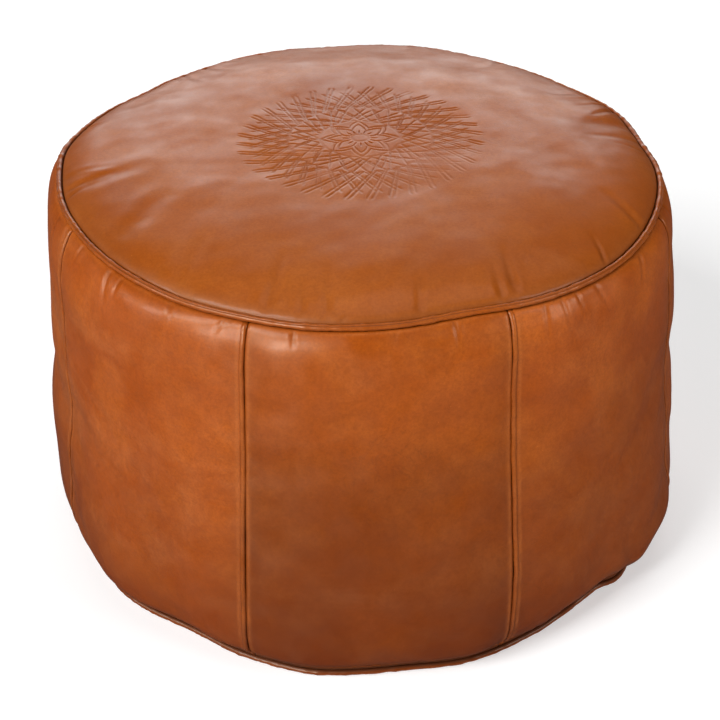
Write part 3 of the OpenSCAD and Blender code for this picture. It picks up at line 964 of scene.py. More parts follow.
def side_welt(index):
    """The raised welt over an upright seam, with its two plies turned in between the panels."""
    angle = PANEL_ANGLE * (index + 0.5)
    s = spaced(SIDE_START - 1 * MM, SIDE_END + 1 * MM, even(2.2 * MM))
    point, normal, _ = side_surface(np.full_like(s, angle), s)
    along = np.array([math.cos(angle), math.sin(angle), 0.0])
    ends = smooth((s - SIDE_START + 1 * MM) / (7 * MM)) * smooth((SIDE_END + 1 * MM - s) / (7 * MM))
    wander = 0.35 * MM * WAVE_MID(point) + 0.15 * MM * WAVE_FINE(point)
    shift = 0.9 * MM * WELT_SIDE[index] + wander
    turn = np.linspace(math.radians(-65), math.radians(245), 16)
    bead_x, bead_y = 2.2 * np.cos(turn), 1.7 * np.sin(turn) + 0.1
    x = np.r_[bead_x, -0.9, -0.9, 0.9, 0.9] * MM
    y = np.r_[bead_y, -3.5, -9, -9, -3.5] * MM
    height = 0.35 + 0.65 * ends
    rings = (point[:, None] + along * (x[None, :, None] + shift[:, None, None])
             + normal[:, None] * (y[None, :, None] * height[:, None, None]))
    # painted shade down in the seam, and a painted highlight with wear along the welt's crest
    low = np.tile(smooth((0.6 - y / MM) / 1.6), (len(s), 1))
    top = np.tile(bump((y / MM - 2.0) / 0.7), (len(s), 1)) * 0.8
    piece = tube(f"side_welt_{index + 1}_leather", rings, PIPING_LEATHER,
                 {"groove": low, "wear": top}, closed=False)
    return dressed(piece, f"side_welt_{index + 1}")


def piping(node, which, shift, lift):
    """Leather folded round its cord, with its two edges in the seam."""
    angle = full_turn(900)
    thin = 0.8 * MM
    turn = np.linspace(math.radians(15), math.radians(345), 34)
    fold_line = bump((turn - math.radians(168)) / math.radians(11))
    fold = BEAD_R + 0.15 * MM - thin / 2 - 0.5 * MM * fold_line
    tail = thin / 2 + 0.05 * MM
    middle = np.array([[TURNED_IN, tail], [TURNED_IN / 2, tail]]
                      + [[-BEAD_OUT + f * math.cos(a), f * math.sin(a)] for a, f in zip(turn, fold)]
                      + [[TURNED_IN / 2, -tail], [TURNED_IN, -tail]])
    way = np.gradient(middle, axis=0)
    way /= np.linalg.norm(way, axis=1)[:, None]
    side = np.stack([way[:, 1], -way[:, 0]], 1) * thin / 2
    cut = np.vstack([middle + side, (middle - side)[::-1]])
    across, up = cut[:, 0], cut[:, 1]
    flat = which[0] + across[:, None] * which[1] + up[:, None] * which[2]
    rings = ring_point(angle[:, None], flat[None, :, 0] + shift(angle)[:, None],
                       flat[None, :, 1] + lift(angle)[:, None])
    middle = which[0] - BEAD_OUT * which[1]
    centre = ring_point(angle, middle[0] + shift(angle), middle[1] + lift(angle))
    outward = (rings - centre[:, None]) / np.linalg.norm(rings - centre[:, None], axis=2, keepdims=True)
    puckered = (0.14 * WAVE_FINE(centre * 2.2) + 0.10 * WAVE_FINE(centre * 4.7)) * MM
    rings = rings + outward * puckered[:, None, None] * (across < -1 * MM)[None, :, None]
    rings[..., 2] = np.maximum(rings[..., 2], 0.05 * MM)
    proud = -(across + BEAD_OUT) / BEAD_R
    folded = np.r_[0, 0, fold_line, 0, 0]
    folded = np.r_[folded, folded[::-1]]
    # painted shade towards the seam and in the fold line, and a painted highlight with wear on the most
    # proud part
    low = np.tile(np.clip(smooth((0.25 - proud) / 0.6) + 0.7 * folded, 0, 1), (len(angle), 1))
    top = np.tile(bump((proud - 0.8) / 0.25) * (1 - folded), (len(angle), 1)) * 0.7
    piece = tube(node + "_leather", rings, PIPING_LEATHER, {"groove": low, "wear": top})
    return dressed(piece, node)


def top_spacing(s):
    """Steps of the top's outer face: fine in the medallion and at the rim."""
    step = np.interp(np.abs(s - TOP_END) / MM, [5, 12, 60, 100], [0.65, 1.9, 3.8, 4.6])
    step = np.where(s < MEDALLION_R * 1.03, 1.35, step)
    return np.where(s > TOP_END + 3 * MM, 2.5, step) * MM


def joined_rings(a, b):
    """Triangles between ring a and ring b, which has twice as many points."""
    a_next, b_next = np.roll(a, -1), np.roll(b, -2)[::2]
    return [np.stack(corners, 1) for corners in
            ((a, b[1::2], b[::2]), (a, a_next, b[1::2]), (a_next, b_next, b[1::2]))]


def top_panel():
    """The crowned top. Each face is made of zones, with fewer points round towards the middle."""
    fine, coarse = 700, 350
    inner_edge = 46 * MM
    outer = [(spaced(1.6 * MM, inner_edge, even(1.2 * MM)), coarse),
             (spaced(inner_edge, TOP.s[-1], top_spacing), fine)]
    # the inner face: the same rim, then coarser and coarser rings
    turned_edge = spaced(TOP_END + 2 * MM, TOP_END - 8 * MM, even(1.5 * MM))
    inner = [(np.r_[TOP.s[-1], turned_edge], fine),
             (TOP_END - np.array([14, 22, 32, 44, 58]) * MM, fine // 2),
             (np.array([180, 150, 120, 90, 60, 30, 8]) * MM, fine // 4)]
    parts, faces, first_rings, last_rings, total = [], [], [], [], 0
    for zone, (s, count) in enumerate(outer + inner):
        angle, grid_s = np.meshgrid(full_turn(count), s)
        point, normal, deep = top_surface(angle, grid_s)
        if zone < len(outer):
            pressed = medallion(point[..., 0], point[..., 1])
            point = point + normal * (LEATHER / 2 - PRESS_DEPTH * pressed)[..., None]
        else:
            pressed = 0 * deep
            point = point - normal * LEATHER / 2
        parts.append((point, deep, pressed, grid_s))
        faces.append(grid_quads(len(s), count, wrap_cols=True, start=total))
        first_rings.append(total + np.arange(count))
        total += len(s) * count
        last_rings.append(total - count + np.arange(count))
    faces += joined_rings(last_rings[0], first_rings[1])
    edge, inner_first = last_rings[1], first_rings[2]
    faces.append(np.stack([edge, np.roll(edge, -1), np.roll(inner_first, -1), inner_first], 1))
    for zone in (3, 4):
        faces += [f[:, ::-1] for f in joined_rings(first_rings[zone], last_rings[zone - 1])]
    # a fan of triangles closes each face at its middle
    faces.append(end_fans(first_rings[0], last_rings[-1], total))
    middles = [[0, 0, parts[0][0][0, :, 2].mean()], [0, 0, parts[-1][0][-1, :, 2].mean()]]
    verts = np.vstack([part[0].reshape(-1, 3) for part in parts] + [np.array(middles)])
    deep, pressed, s = (np.concatenate([part[k].ravel() for part in parts] + [np.zeros(2)])
                        for k in (1, 2, 3))
    from_rim = np.abs(s - TOP_END) / MM
    from_rim[-2:] = 200
    # painted shade in the rim seam and near it, and a painted highlight with wear on a band 5 mm in
    groove = np.where(s > TOP_END, 1.0, smooth((2.0 - from_rim) / 1.7)) + 0.35 * bump(from_rim / 10)
    values = {"groove": np.clip(groove, 0, 1), "wear": bump((from_rim - 5) / 2.2) * 0.35,
              "crease": deep, "press": pressed}
    piece = mesh_piece("top_panel_leather", verts, faces, TOP_LEATHER, values)
    return dressed(piece, "top_panel")


# ---- cords and thread ----------------------------------------------------------------------------

STITCH, ZIP_STITCH = 4.2 * MM, 3.6 * MM


class Pile:
    """Several closed shapes gathered into one mesh."""

    def __init__(self):
        self.verts, self.quads, self.tris, self.count = [], [], [], 0

    def add(self, verts, quads=(), tris=()):
        verts = np.asarray(verts, float).reshape(-1, 3)
        faces = [np.asarray(f, int) for f in (quads, tris)]
        if volume(verts, [f for f in faces if len(f)]) < 0:
            faces = [f[:, ::-1] if len(f) else f for f in faces]
        self.verts.append(verts)
        if len(faces[0]):
            self.quads.append(faces[0] + self.count)
        if len(faces[1]):
            self.tris.append(faces[1] + self.count)
        self.count += len(verts)

    def add_capped(self, rings, ends):
        """Rings of points, closed round a middle point at each end."""
        rows, cols = rings.shape[:2]
        first = np.arange(cols)
        fans = end_fans(first, first + (rows - 1) * cols, rows * cols)
        self.add(np.vstack([rings.reshape(-1, 3), ends]), grid_quads(rows, cols, wrap_cols=True), fans)

    def piece(self, name, material):
        groups = [np.vstack(g) for g in (self.quads, self.tris) if g]
        return mesh_piece(name, np.vstack(self.verts), groups, material)


def strand(pile, line, radius, sides, closed, reference):
    """A round thread along a line of points. reference is a direction that the line never takes."""
    if closed:
        way = np.roll(line, -1, 0) - np.roll(line, 1, 0)
    else:
        way = np.gradient(line, axis=0)
    way /= np.linalg.norm(way, axis=1)[:, None]
    side = np.cross(way, reference)
    side /= np.linalg.norm(side, axis=1)[:, None]
    up = np.cross(side, way)
    turn = full_turn(sides)
    rings = (line[:, None] + side[:, None] * (radius * np.cos(turn))[None, :, None]
             + up[:, None] * (radius * np.sin(turn))[None, :, None])
    if closed:
        pile.add(rings, grid_quads(len(line), sides, wrap_rows=True, wrap_cols=True))
    else:
        pile.add_capped(rings, line[[0, -1]])


def lockstitch(pile, middle, through, stitches, reach, radius, closed):
    """The two threads of a row of stitches. middle and through give, for shares 0 to 1 of the seam,
    the middle of the layers and the direction through them. They meet in the middle at each hole."""
    share = np.linspace(0, 1, stitches * 10, endpoint=not closed)
    phase = share * stitches
    hole = bump((phase - np.round(phase)) / 0.13)
    centre, across = middle(share), through(share)
    for face in (1, -1):
        line = centre + across * (face * (reach + 0.6 * radius) * (1 - 0.93 * hole))[:, None]
        strand(pile, line, radius, 5, closed, across)


def twisted_cord(node, which, shift, lift):
    """The three-strand cotton cord inside a piping."""
    pile = Pile()
    turns = 150
    angle = full_turn(turns * 12)
    middle = which[0] - BEAD_OUT * which[1]
    up = np.tile([0.0, 0.0, 1.0], (len(angle), 1))
    for k in range(3):
        twist = angle * turns + k * 2 * math.pi / 3
        r = middle[0] + shift(angle) + 0.78 * MM * np.cos(twist)
        z = middle[1] + lift(angle) + 0.78 * MM * np.sin(twist)
        strand(pile, ring_point(angle, r, z), 0.74 * MM, 8, True, up)
    dressed(pile.piece(node + "_strands", COTTON_CORD), node)


def ring_stitches(node, which, shift, lift):
    """The stitching of a round seam."""
    pile = Pile()
    place = which[0] + which[1] * 4.5 * MM

    def middle(share):
        angle = share * 2 * math.pi
        return ring_point(angle, place[0] + shift(angle), place[1] + lift(angle))

    def through(share):
        angle = share * 2 * math.pi
        return ring_point(angle, np.full_like(angle, which[2][0]), np.full_like(angle, which[2][1]))

    count = int(2 * math.pi * place[0] / STITCH)
    lockstitch(pile, middle, through, count, PLY + LEATHER / 2, 0.36 * MM, True)
    dressed(pile.piece(node + "_stitches", THREAD), node)


def upright_stitches():
    """The stitches inside each upright seam, and the small ones that show in its groove."""
    pile = Pile()
    for index, angle in enumerate(SEAM_ANGLES):
        along = np.array([math.cos(angle), math.sin(angle), 0.0])
        start, end = SIDE_START + 16 * MM, SIDE_END - 16 * MM

        def middle(share):
            s = start + share * (end - start)
            point, normal, _ = side_surface(np.full_like(s, angle), s)
            return point - normal * 6.2 * MM

        def through(share):
            return np.tile(along, (len(share), 1))

        lockstitch(pile, middle, through, int((end - start) / STITCH), 2.7 * MM, 0.32 * MM, False)
        rng = np.random.default_rng(700 + index)
        for k in range(int((SIDE_END - SIDE_START - 12 * MM) / STITCH)):
            s = SIDE_START + 6 * MM + STITCH * (k + np.linspace(0, 0.56, 6)) + rng.normal() * 0.25 * MM
            point, normal, _ = side_surface(np.full_like(s, angle), s)
            arch = np.sin(np.linspace(0, math.pi, 6))
            off = -WELT_SIDE[index] * (2.3 + 0.25 * np.linspace(-1, 1, 6)) * MM
            line = point + along * off[:, None] + normal * ((0.75 * arch - 1.5) * MM)[:, None]
            strand(pile, line, 0.27 * MM, 5, False, np.tile(along, (6, 1)))
    dressed(pile.piece("side_seam_stitches", THREAD), "side_seam_thread")


# ---- base ----------------------------------------------------------------------------------------

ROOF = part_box("zip_tape_front")[0].z - 0.85 * MM       # middle of the leather over the zip's recess
SLOT_HALF = -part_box("base_half_front")[1].y
SLOT_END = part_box("zip_end_tab_right")[0].x
RECESS_HALF = (SLOT_END + 28 * MM, SLOT_HALF + 12 * MM)


def base_points():
    """The base's section from the middle to its turned-in edge."""
    edge = seam_point(FOOT, 0, PLY)
    corner = [edge[0] - (edge[1] - LEATHER / 2), LEATHER / 2]
    return [[0, LEATHER / 2], corner, edge, seam_point(FOOT, TURNED_IN, PLY)]


BASE = Section(base_points(), soften=0.8 * MM)
BASE_END = BASE.s[-1] - TURNED_IN
WAVE_BASE = Waves(41, 45 * MM, 120 * MM, 16)


def base_surface(x, y):
    """(point, normal, length from the middle) of the base's leather, whose flat places are x, y."""
    s = np.hypot(x, y)
    p, n = BASE.at(s)
    angle = np.arctan2(x, -y)
    r, z = p[..., 0], p[..., 1]
    # near the turned-in edge the circle is smaller than the leather: keep the straight edges straight
    beta = np.arctan2(np.abs(y), np.abs(x))
    grown = 1 + (s / np.maximum(r, 1 * MM) - 1) * (1 - smooth(beta / 0.3)) * (s > 0.2)
    angle = np.sign(x + 1e-12) * (math.pi / 2 - np.sign(-y) * beta * grown)
    outer = smooth((s - 190 * MM) / (85 * MM))
    rise = smooth((s - 262 * MM) / (16 * MM))
    point = ring_point(angle, r + foot_shift(angle) * outer, z + foot_lift(angle) * rise)
    corner = 12 * MM
    dx = np.maximum(np.abs(point[..., 0]) - RECESS_HALF[0] + corner, 0)
    dy = np.maximum(np.abs(point[..., 1]) - RECESS_HALF[1] + corner, 0)
    over = 1 - smooth((np.hypot(dx, dy) - corner) / (6 * MM))
    slack = (0.55 + 0.45 * WAVE_BASE(point)) * MM * (1 - rise)
    point[..., 2] += over * (ROOF - LEATHER / 2) + (1 - over) * np.maximum(slack, 0)
    normal = ring_point(angle, n[..., 0], n[..., 1])
    return point, normal, s


def base_sheet(node, x, y, from_edge, material, rubbed=1.0):
    """A piece of the base's leather. from_edge is how far each place is from its straight edge."""
    point, normal, s = base_surface(x, y)
    half = normal * LEATHER / 2
    rim = np.abs(s - BASE_END) / MM
    # painted shade in the rim seam; paler near the rim, wear with a painted highlight, and along the slot's
    # edges
    groove = np.where(s > BASE_END, 1.0, smooth((2.0 - rim) / 1.6)) + 0.3 * bump(rim / 8)
    wear = 0.5 * bump((rim - 6) / 3) + 0.4 * bump(from_edge / MM / 0.7)
    return shell(node + "_leather", point - half, point + half, material,
                 {"groove": np.clip(groove, 0, 1), "wear": wear * rubbed})


def base_half(side, node):
    """A half disc of quads, from the slot's straight edge to the turned-in rim."""
    u = np.sin(np.linspace(-1, 1, 330) * 1.30) / math.sin(1.30)
    v = np.sin(np.linspace(0, 1, 150) * 1.35) / math.sin(1.35)
    u, v = np.meshgrid(u, v)
    ex, ey = u * np.sqrt(1 - v * v / 2), v * np.sqrt(1 - u * u / 2)
    share, turn = np.hypot(ex, ey), np.arctan2(ey, ex)
    total = BASE.s[-1]
    reach = -SLOT_HALF * np.sin(turn) + np.sqrt(total ** 2 - (SLOT_HALF * np.cos(turn)) ** 2)
    x = share * reach * np.cos(turn)
    y = (SLOT_HALF + share * reach * np.sin(turn)) * side
    piece = base_sheet(node, x, y, np.abs(y) - SLOT_HALF, BASE_LEATHER)
    return dressed(piece, node)


def end_tab(side, node):
    """A strip of leather that closes the slot beyond one end of the zip."""
    s = spaced(SLOT_END, BASE.s[-1] - 0.2 * MM,
               lambda x: np.where(np.abs(x - BASE_END) < 12 * MM, 0.8, 2.2) * MM)
    across = np.linspace(-1, 1, 9) * (SLOT_HALF - 0.15 * MM)
    x, y = np.meshgrid(s * side, across, indexing="ij")
    piece = base_sheet(node, x, y, SLOT_HALF - np.abs(y), PIPING_LEATHER, 0.6)
    return dressed(piece, node)


# ---- zip -----------------------------------------------------------------------------------------


def rounded_block(pile, low, high, bevel):
    """A box with rounded edges."""
    low, high = np.array(low), np.array(high)
    x0, x1, y0, y1 = low[0], high[0], low[1], high[1]
    loop = []
    for cx, cy, start in ((x1 - bevel, y1 - bevel, 0), (x0 + bevel, y1 - bevel, 90),
                          (x0 + bevel, y0 + bevel, 180), (x1 - bevel, y0 + bevel, 270)):
        for a in (0, 30, 60, 90):
            turn = math.radians(start + a)
            loop.append([cx + bevel * math.cos(turn), cy + bevel * math.sin(turn)])
    plate(pile, [np.array(loop)], low[2], high[2], bevel * 0.95)


def plate(pile, loops, z0, z1, bevel, steps=3):
    """A plate with rounded edges from an outline and its holes, each a loop of points."""
    rounds = [(z0 + bevel * (1 - math.sin(a)), bevel * (1 - math.cos(a)))
              for a in np.linspace(math.pi / 2, 0, steps)]
    rounds += [(z1 - bevel * (1 - math.sin(a)), bevel * (1 - math.cos(a)))
               for a in np.linspace(0, math.pi / 2, steps)]
    verts, quads, base, caps = [], [], 0, []
    for order, loop in enumerate(loops):
        loop = np.asarray(loop, float)
        area = np.sum(loop[:, 0] * np.roll(loop[:, 1], -1) - np.roll(loop[:, 0], -1) * loop[:, 1])
        if (area < 0) == (order == 0):
            loop = loop[::-1]
        before, after = loop - np.roll(loop, 1, 0), np.roll(loop, -1, 0) - loop
        way = (before / np.linalg.norm(before, axis=1)[:, None]
               + after / np.linalg.norm(after, axis=1)[:, None])
        way /= np.linalg.norm(way, axis=1)[:, None]
        into = np.stack([-way[:, 1], way[:, 0]], 1)
        n = len(loop)
        for z, inset in rounds:
            verts.append(np.c_[loop + into * inset, np.full(n, z)])
        quads.append(grid_quads(len(rounds), n, wrap_cols=True, start=base))
        caps.append(loop + into * rounds[0][1])
        base += n * len(rounds)
    flat = tessellate_polygon([[Vector((*p, 0.0)) for p in c] for c in caps])
    sizes = [len(c) for c in caps]
    first = np.concatenate([[0], np.cumsum([n * len(rounds) for n in sizes])[:-1]])
    low_index = np.concatenate([f + np.arange(n) for f, n in zip(first, sizes)])
    high_index = np.concatenate([f + n * (len(rounds) - 1) + np.arange(n) for f, n in zip(first, sizes)])
    tris = np.array([list(f) for f in flat])
    joined = np.concatenate(caps)
    a, b, c = (joined[tris[:, k]] for k in range(3))
    turn = (b[:, 0] - a[:, 0]) * (c[:, 1] - a[:, 1]) - (b[:, 1] - a[:, 1]) * (c[:, 0] - a[:, 0])
    tris = np.where(turn[:, None] > 0, tris, tris[:, ::-1])
    pile.add(np.vstack(verts), np.vstack(quads), np.vstack([low_index[tris][:, ::-1], high_index[tris]]))


def round_slab(length, width, corner, narrow=1.0, steps=6):
    """A rounded outline along x, narrower at its -x end."""
    loop = []
    for sx, sy, start in ((1, 1, 0), (-1, 1, 90), (-1, -1, 180), (1, -1, 270)):
        w = width if sx > 0 else width * narrow
        for a in np.linspace(0, 90, steps):
            turn = math.radians(start + a)
            loop.append([sx * (length / 2 - corner) + corner * math.cos(turn),
                         sy * (w / 2 - corner) + corner * math.sin(turn)])
    return np.array(loop)


def zip_tape(side, node):
    """One of the zip's two woven tapes."""
    low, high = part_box(node)
    x = np.linspace(low.x, high.x, 430)
    inner = 0.9 * MM
    wide = high.y - low.y
    middle_z = low.z + 0.35 * MM
    # a woven strip with a thicker cord along the edge that carries the teeth
    across = np.r_[0, 0.35, 1.0, 1.7, np.linspace(2.4, wide / MM - 0.3, 9), wide / MM] * MM
    thick = np.r_[0.25, 0.6, 0.75, 0.6, np.full(9, 0.42), 0.25] * MM
    y = np.r_[across, across[::-1]] + inner
    z = np.r_[middle_z - thick / 2, (middle_z + thick / 2)[::-1]]
    rings = np.stack(np.broadcast_arrays(x[:, None], y[None, :] * side, z[None, :]), -1).copy()
    ripple = 0.06 * MM * np.sin(x / (3 * MM) * 2 * math.pi)
    rings[..., 2] += ripple[:, None] * np.r_[np.full(4, 1.0), np.full(20, 0.0), np.full(4, 1.0)][None, :]
    piece = tube(node + "_cloth", rings, TAPE_CLOTH, closed=False)
    return dressed(piece, node)


def zip_teeth(side, node):
    """One row of teeth: a metal tooth every three millimetres."""
    low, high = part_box(node)
    pile = Pile()
    pitch = 3 * MM
    count = int(round((high.x - low.x) / pitch))
    near, far = sorted((abs(low.y), abs(high.y)))
    tooth = np.array([[0.15, 0], [0.75, 0], [0.95, 0.18], [0.95, 0.55], [1.25, 0.8], [1.25, 2.4],
                      [-0.35, 2.4], [-0.35, 0.8], [-0.05, 0.55], [-0.05, 0.18]])
    tooth = tooth * MM * np.array([1, (far - near) / (2.4 * MM)])
    for k in range(count):
        x = low.x + k * pitch + (0.5 if side > 0 else 0.9) * MM
        loop = tooth + np.array([x, near])
        loop = loop * np.array([1, side])
        plate(pile, [loop], low.z, high.z - 0.05 * MM, 0.22 * MM, steps=2)
    return dressed(pile.piece(node + "_metal", ZIP_METAL), node)


def zip_stops():
    """The two stops at one end of the zip and the one at the other."""
    pile = Pile()
    low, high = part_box("zip_top_stops")
    for side in (-1, 1):
        y = sorted((side * (high.y - 2.4 * MM), side * high.y))
        rounded_block(pile, (low.x, y[0], low.z), (high.x, y[1], high.z), 0.5 * MM)
    dressed(pile.piece("zip_top_stops_metal", ZIP_METAL), "zip_top_stops")
    pile = Pile()
    low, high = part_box("zip_bottom_stop")
    rounded_block(pile, low, high, 0.6 * MM)
    dressed(pile.piece("zip_bottom_stop_metal", ZIP_METAL), "zip_bottom_stop")


def zip_slider():
    """The slider: two wings on a post, with lips at the sides and an arch for the pull."""
    low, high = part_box("zip_slider")
    middle = (low.x + high.x) / 2
    length, width = high.x - low.x, high.y - low.y
    wing = 1.1 * MM
    outer_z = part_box("zip_teeth_front")[0].z - 0.3 * MM - wing
    pile = Pile()
    for cut_x, cut_y, z in ((0, 0, outer_z), (2 * MM, 1 * MM, high.z - wing)):
        shape = round_slab(length - cut_x, width - cut_y, 3 * MM, 0.86) + np.array([middle, 0])
        plate(pile, [shape], z, z + wing, 0.35 * MM)
    rounded_block(pile, (low.x + 2 * MM, -0.6 * MM, outer_z + wing / 2),
                  (low.x + 7 * MM, 0.6 * MM, high.z - wing / 2), 0.25 * MM)
    lip_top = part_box("zip_tape_front")[0].z - 0.3 * MM
    for side in (-1, 1):
        y = sorted((side * (width / 2 - 1.5 * MM), side * (width / 2 - 0.05 * MM)))
        rounded_block(pile, (low.x + 3.4 * MM, y[0], outer_z + wing / 2),
                      (high.x - 3 * MM, y[1], lip_top), 0.3 * MM)
    # the arch that holds the pull: a bent strip from one end of the wing to the other
    span, rise, thick, wide = 4.5 * MM, outer_z - low.z, 1.0 * MM, 2.2 * MM
    turn = np.linspace(0, math.pi, 17)
    squared = 0.55
    ax = -(span - thick / 2) * np.sign(np.cos(turn)) * np.abs(np.cos(turn)) ** squared
    az = -(rise - thick / 2) * np.abs(np.sin(turn)) ** squared
    line = np.stack([np.r_[ax[0], ax, ax[-1]], np.r_[0.4 * MM, az, 0.4 * MM]], 1)
    keep = np.r_[True, np.linalg.norm(np.diff(line, axis=0), axis=1) > 1e-5]
    line = line[keep]
    way = np.gradient(line, axis=0)
    way /= np.linalg.norm(way, axis=1)[:, None]
    side = np.stack([-way[:, 1], way[:, 0]], 1)
    cut = [(c[0] * thick / 2, c[1] * wide / 2) for c in
           ((1, 0.7), (0.6, 1), (-0.6, 1), (-1, 0.7), (-1, -0.7), (-0.6, -1), (0.6, -1), (1, -0.7))]
    rings = np.zeros((len(line), len(cut), 3))
    for k, (off, y) in enumerate(cut):
        rings[:, k, 0] = middle + line[:, 0] + side[:, 0] * off
        rings[:, k, 1] = y
        rings[:, k, 2] = outer_z + line[:, 1] + side[:, 1] * off
    n = len(cut)
    quads = grid_quads(len(line), n, wrap_cols=True)
    caps = np.array([[0, k, k + 1] for k in range(1, n - 1)])
    pile.add(rings, quads, np.vstack([caps[:, ::-1], caps + (len(line) - 1) * n]))
    return dressed(pile.piece("zip_slider_metal", ZIP_METAL), "zip_slider", "zip_slider")


def zip_pull():
    """A flat tab with a window for the slider's arch and a hole for a leather tassel."""
    low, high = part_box("zip_pull")
    pin_x, pin_z = high.x - 0.75 * MM, (low.z + high.z) / 2
    length = pin_x - low.x
    wide, thick = high.y - low.y, 1.2 * MM
    pile = Pile()
    outline = round_slab(length, wide, 2.4 * MM)
    taper = 1 - 0.16 * bump((outline[:, 0] + 1 * MM) / (7 * MM))
    outline = outline * np.stack([np.ones(len(outline)), taper], 1) + np.array([low.x + length / 2, 0])
    window = round_slab(4.4 * MM, 4 * MM, 1.0 * MM) + np.array([pin_x - 3.2 * MM, 0])
    turn = full_turn(24)
    hole = np.stack([low.x + 4 * MM + 1.5 * MM * np.cos(turn), 1.5 * MM * np.sin(turn)], 1)
    plate(pile, [outline, window, hole], pin_z - thick / 2, pin_z + thick / 2, 0.3 * MM)
    bar = np.array([[pin_x, y, pin_z] for y in np.linspace(-1, 1, 9) * 3.2 * MM])
    strand(pile, bar, 0.74 * MM, 14, False, np.tile([0.0, 0.0, 1.0], (9, 1)))
    return dressed(pile.piece("zip_pull_metal", ZIP_METAL), "zip_pull", "zip_pull")


def zip_stitches():
    """The stitching that holds the tapes to the base."""
    pile = Pile()
    low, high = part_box("zip_seam_thread")
    start, end = low.x, high.x
    place = high.y - 0.4 * MM
    layers = (ROOF - LEATHER / 2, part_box("zip_tape_front")[1].z)
    for side in (-1, 1):
        def middle(share):
            x = start + share * (end - start)
            wander = 0.15 * MM * np.sin(share * 40)
            return np.stack([x, side * place + wander, np.full_like(x, sum(layers) / 2)], 1)

        def through(share):
            return np.tile([0.0, 0.0, 1.0], (len(share), 1))

        lockstitch(pile, middle, through, int((end - start) / ZIP_STITCH), (layers[1] - layers[0]) / 2,
                   0.32 * MM, False)
    return dressed(pile.piece("zip_seam_stitches", THREAD), "zip_seam_thread")


# ---- filling -------------------------------------------------------------------------------------


def filling_surface(gap, lumps):
    """A closed surface inside the cover: rows from the middle of the base out, up and over to the
    middle of the top. It keeps clear of the turned-in seams and of the zip."""
    angle = full_turn(400)
    corner = TURNED_IN + 12 * MM + gap
    # over the base, arched over the zip's recess
    edge_r = FOOT_R - corner
    a, r = np.meshgrid(angle, np.linspace(0.01, 1, 28) * edge_r)
    low = ring_point(a, r + foot_shift(a) * (r / edge_r) ** 4, np.full_like(r, LEATHER + 1.3 * MM + gap))
    reach_x, reach_y = RECESS_HALF[0] + 7 * MM + gap, RECESS_HALF[1] + 7 * MM + gap
    away = np.maximum(np.abs(low[..., 0]) - reach_x, np.abs(low[..., 1]) - reach_y)
    low[..., 2] += (16 * MM) * (1 - smooth(away / (10 * MM)))
    # up the side, behind the turned-in edges of the panels
    corner_s = 0.09 * (SIDE_END - SIDE_START)
    a, s = np.meshgrid(angle, np.linspace(SIDE_END - corner_s, SIDE_START + corner_s, 38))
    point, normal, _ = side_surface(a, s)
    clear = 1 - smooth((seam_distance(a, np.hypot(point[..., 0], point[..., 1])) - 4 * MM) / (8 * MM))
    side = point - normal * (LEATHER / 2 + gap + 13 * MM * clear)[..., None]
    # under the top
    point, normal, _ = top_surface(*np.meshgrid(angle, np.linspace(TOP_END - corner - 2 * MM, 3 * MM, 30)))
    whole = np.concatenate([low, side, point - normal * (LEATHER / 2 + gap)], 0)
    for _ in range(3):
        whole[1:-1] = (whole[:-2] + 2 * whole[1:-1] + whole[2:]) / 4
    inward = np.array([0, 0, 170 * MM]) - whole
    inward /= np.linalg.norm(inward, axis=2, keepdims=True)
    lumpy = lumps * (0.5 + 0.5 * WAVE_MID(whole * 1.3) + 0.25 * WAVE_FINE(whole))
    return whole + inward * np.clip(lumpy, 0, 2 * lumps)[..., None]


def padding(gap, lumps):
    """The filling's surface on its own, closed at the middle of the base and of the top."""
    grid = filling_surface(gap, lumps)
    pile = Pile()
    pile.add_capped(grid, [grid[0].mean(0), grid[-1].mean(0)])
    return pile


def filling():
    """The liner bag, hollow, and the stuffing inside it."""
    pile, inner = padding(2.2 * MM, 0.4 * MM), padding(3.2 * MM, 0.4 * MM)
    pile.verts += inner.verts
    pile.quads += [q[:, ::-1] + pile.count for q in inner.quads]
    pile.tris += [f[:, ::-1] + pile.count for f in inner.tris]
    dressed(pile.piece("liner_bag_calico", LINER_COTTON), "liner_bag")
    piece = padding(6.0 * MM, 1.6 * MM).piece("stuffing_cotton", STUFFING_COTTON)
    dressed(piece, "stuffing")


PUCKERS[:] = simulate_cover()
filling()
top_panel()
for panel in range(PANELS):
    side_panel(panel)
    side_welt(panel)
for make, part in ((piping, "piping"), (twisted_cord, "piping_cord"), (ring_stitches, "seam_thread")):
    make("rim_" + part, RIM, rim_shift, rim_lift)
    make("foot_" + part, FOOT, foot_shift, foot_lift)
upright_stitches()
for make, part, places in ((base_half, "base_half", ("front", "rear")),
                           (end_tab, "zip_end_tab", ("left", "right")),
                           (zip_tape, "zip_tape", ("front", "rear")),
                           (zip_teeth, "zip_teeth", ("front", "rear"))):
    make(-1, f"{part}_{places[0]}")
    make(1, f"{part}_{places[1]}")
zip_stops()
zip_stitches()
zip_slider()
zip_pull()

# ---- camera, light and floor ---------------------------------------------------------------------

CAMERA_TURN = math.radians(-3.07)
CAMERA_RISE = math.radians(34.57)
CAMERA_FAR = 5.586 * RIM_R
CAMERA_LENS = 76.13
LOOK_AT = Vector((0, 0, FOOT_Z + RIM_R / 2))


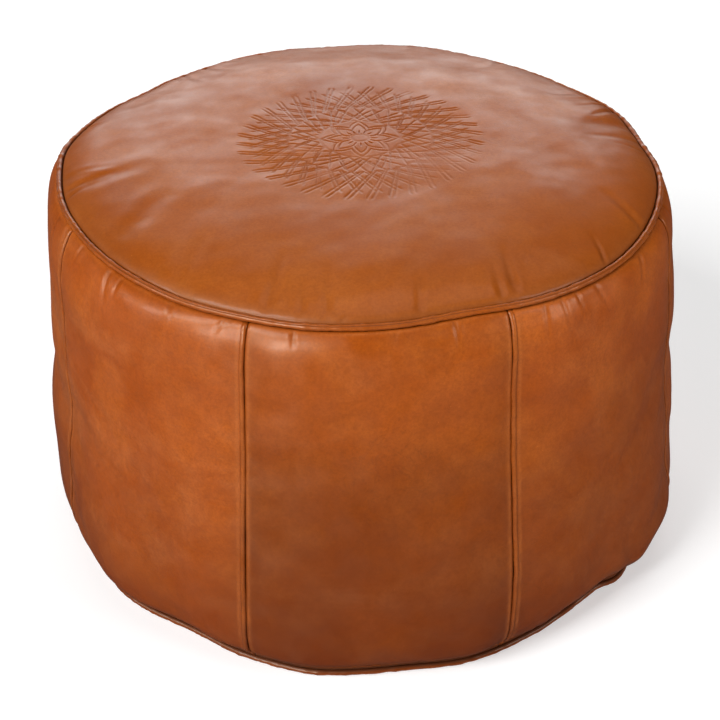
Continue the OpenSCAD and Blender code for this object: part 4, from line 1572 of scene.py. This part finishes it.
def make_camera():
    """The camera that was fitted to the photo."""
    data = bpy.data.cameras.new("camera")
    data.sensor_width = 36
    data.lens = CAMERA_LENS
    camera = bpy.data.objects.new("camera", data)
    way = Vector((math.sin(CAMERA_TURN) * math.cos(CAMERA_RISE),
                  -math.cos(CAMERA_TURN) * math.cos(CAMERA_RISE), math.sin(CAMERA_RISE)))
    camera.location = LOOK_AT + way * CAMERA_FAR
    camera.rotation_euler = (-way).to_track_quat("-Z", "Y").to_euler()
    data.clip_start, data.clip_end = 0.05, 50
    bpy.context.scene.collection.objects.link(camera)
    bpy.context.scene.camera = camera


def area_light(name, place, size, power, size_y=None, shine_only=False):
    """A lamp aimed at the pouf. A shine_only one gives it no diffuse light."""
    data = bpy.data.lights.new(name, "AREA")
    data.energy = power
    data.size = size
    if size_y:
        data.shape = "RECTANGLE"
        data.size_y = size_y
    lamp = bpy.data.objects.new(name, data)
    lamp.location = place
    lamp.rotation_euler = (Vector((0, 0, 0.2)) - Vector(place)).to_track_quat("-Z", "Y").to_euler()
    lamp.visible_diffuse = not shine_only
    bpy.context.scene.collection.objects.link(lamp)


def make_studio():
    """Six soft lights and a pale floor."""
    world = bpy.data.worlds.new("studio")
    world.use_nodes = True
    background = world.node_tree.nodes["Background"].inputs
    background["Color"].default_value = (1.0, 1.0, 1.0, 1)
    background["Strength"].default_value = 0.06
    bpy.context.scene.world = world
    area_light("key", (-3.1, -2.6, 3.7), 2.2, 272)
    area_light("back", (0.0, 4.8, 1.8), 4.0, 74, size_y=2.0)
    area_light("overhead", (0.6, 0.3, 5.0), 3.0, 42)
    area_light("fill", (4.2, -2.2, 2.2), 2.0, 100)
    area_light("front_shine", (-1.9, -3.1, 1.15), 1.1, 110, shine_only=True)
    area_light("left_shine", (-3.6, -0.9, 1.3), 0.7, 60, size_y=1.6, shine_only=True)
    # a hair below the part, so that the two never share a plane
    corners = [[x, y, -0.2 * MM] for x, y in ((-6, -6), (6, -6), (6, 6), (-6, 6))]
    floor = mesh_piece("floor", corners, [[[0, 1, 2, 3]]], floor_material())
    floor.visible_glossy = False


def floor_material():
    m = Nodes("pale_floor")
    shade = m.remap(m.noise(3.0, 3.0), 0.3, 0.7, 0.69, 0.71)
    m.shader.inputs["Emission Color"].default_value = (1.0, 1.0, 1.0, 1)
    return m.finish(m.mix(shade, (0.0, 0.0, 0.0), (1.0, 1.0, 1.0)), 0.7, Emission_Strength=0.42)


make_camera()
make_studio()
bpy.context.scene.view_settings.view_transform = "Standard"
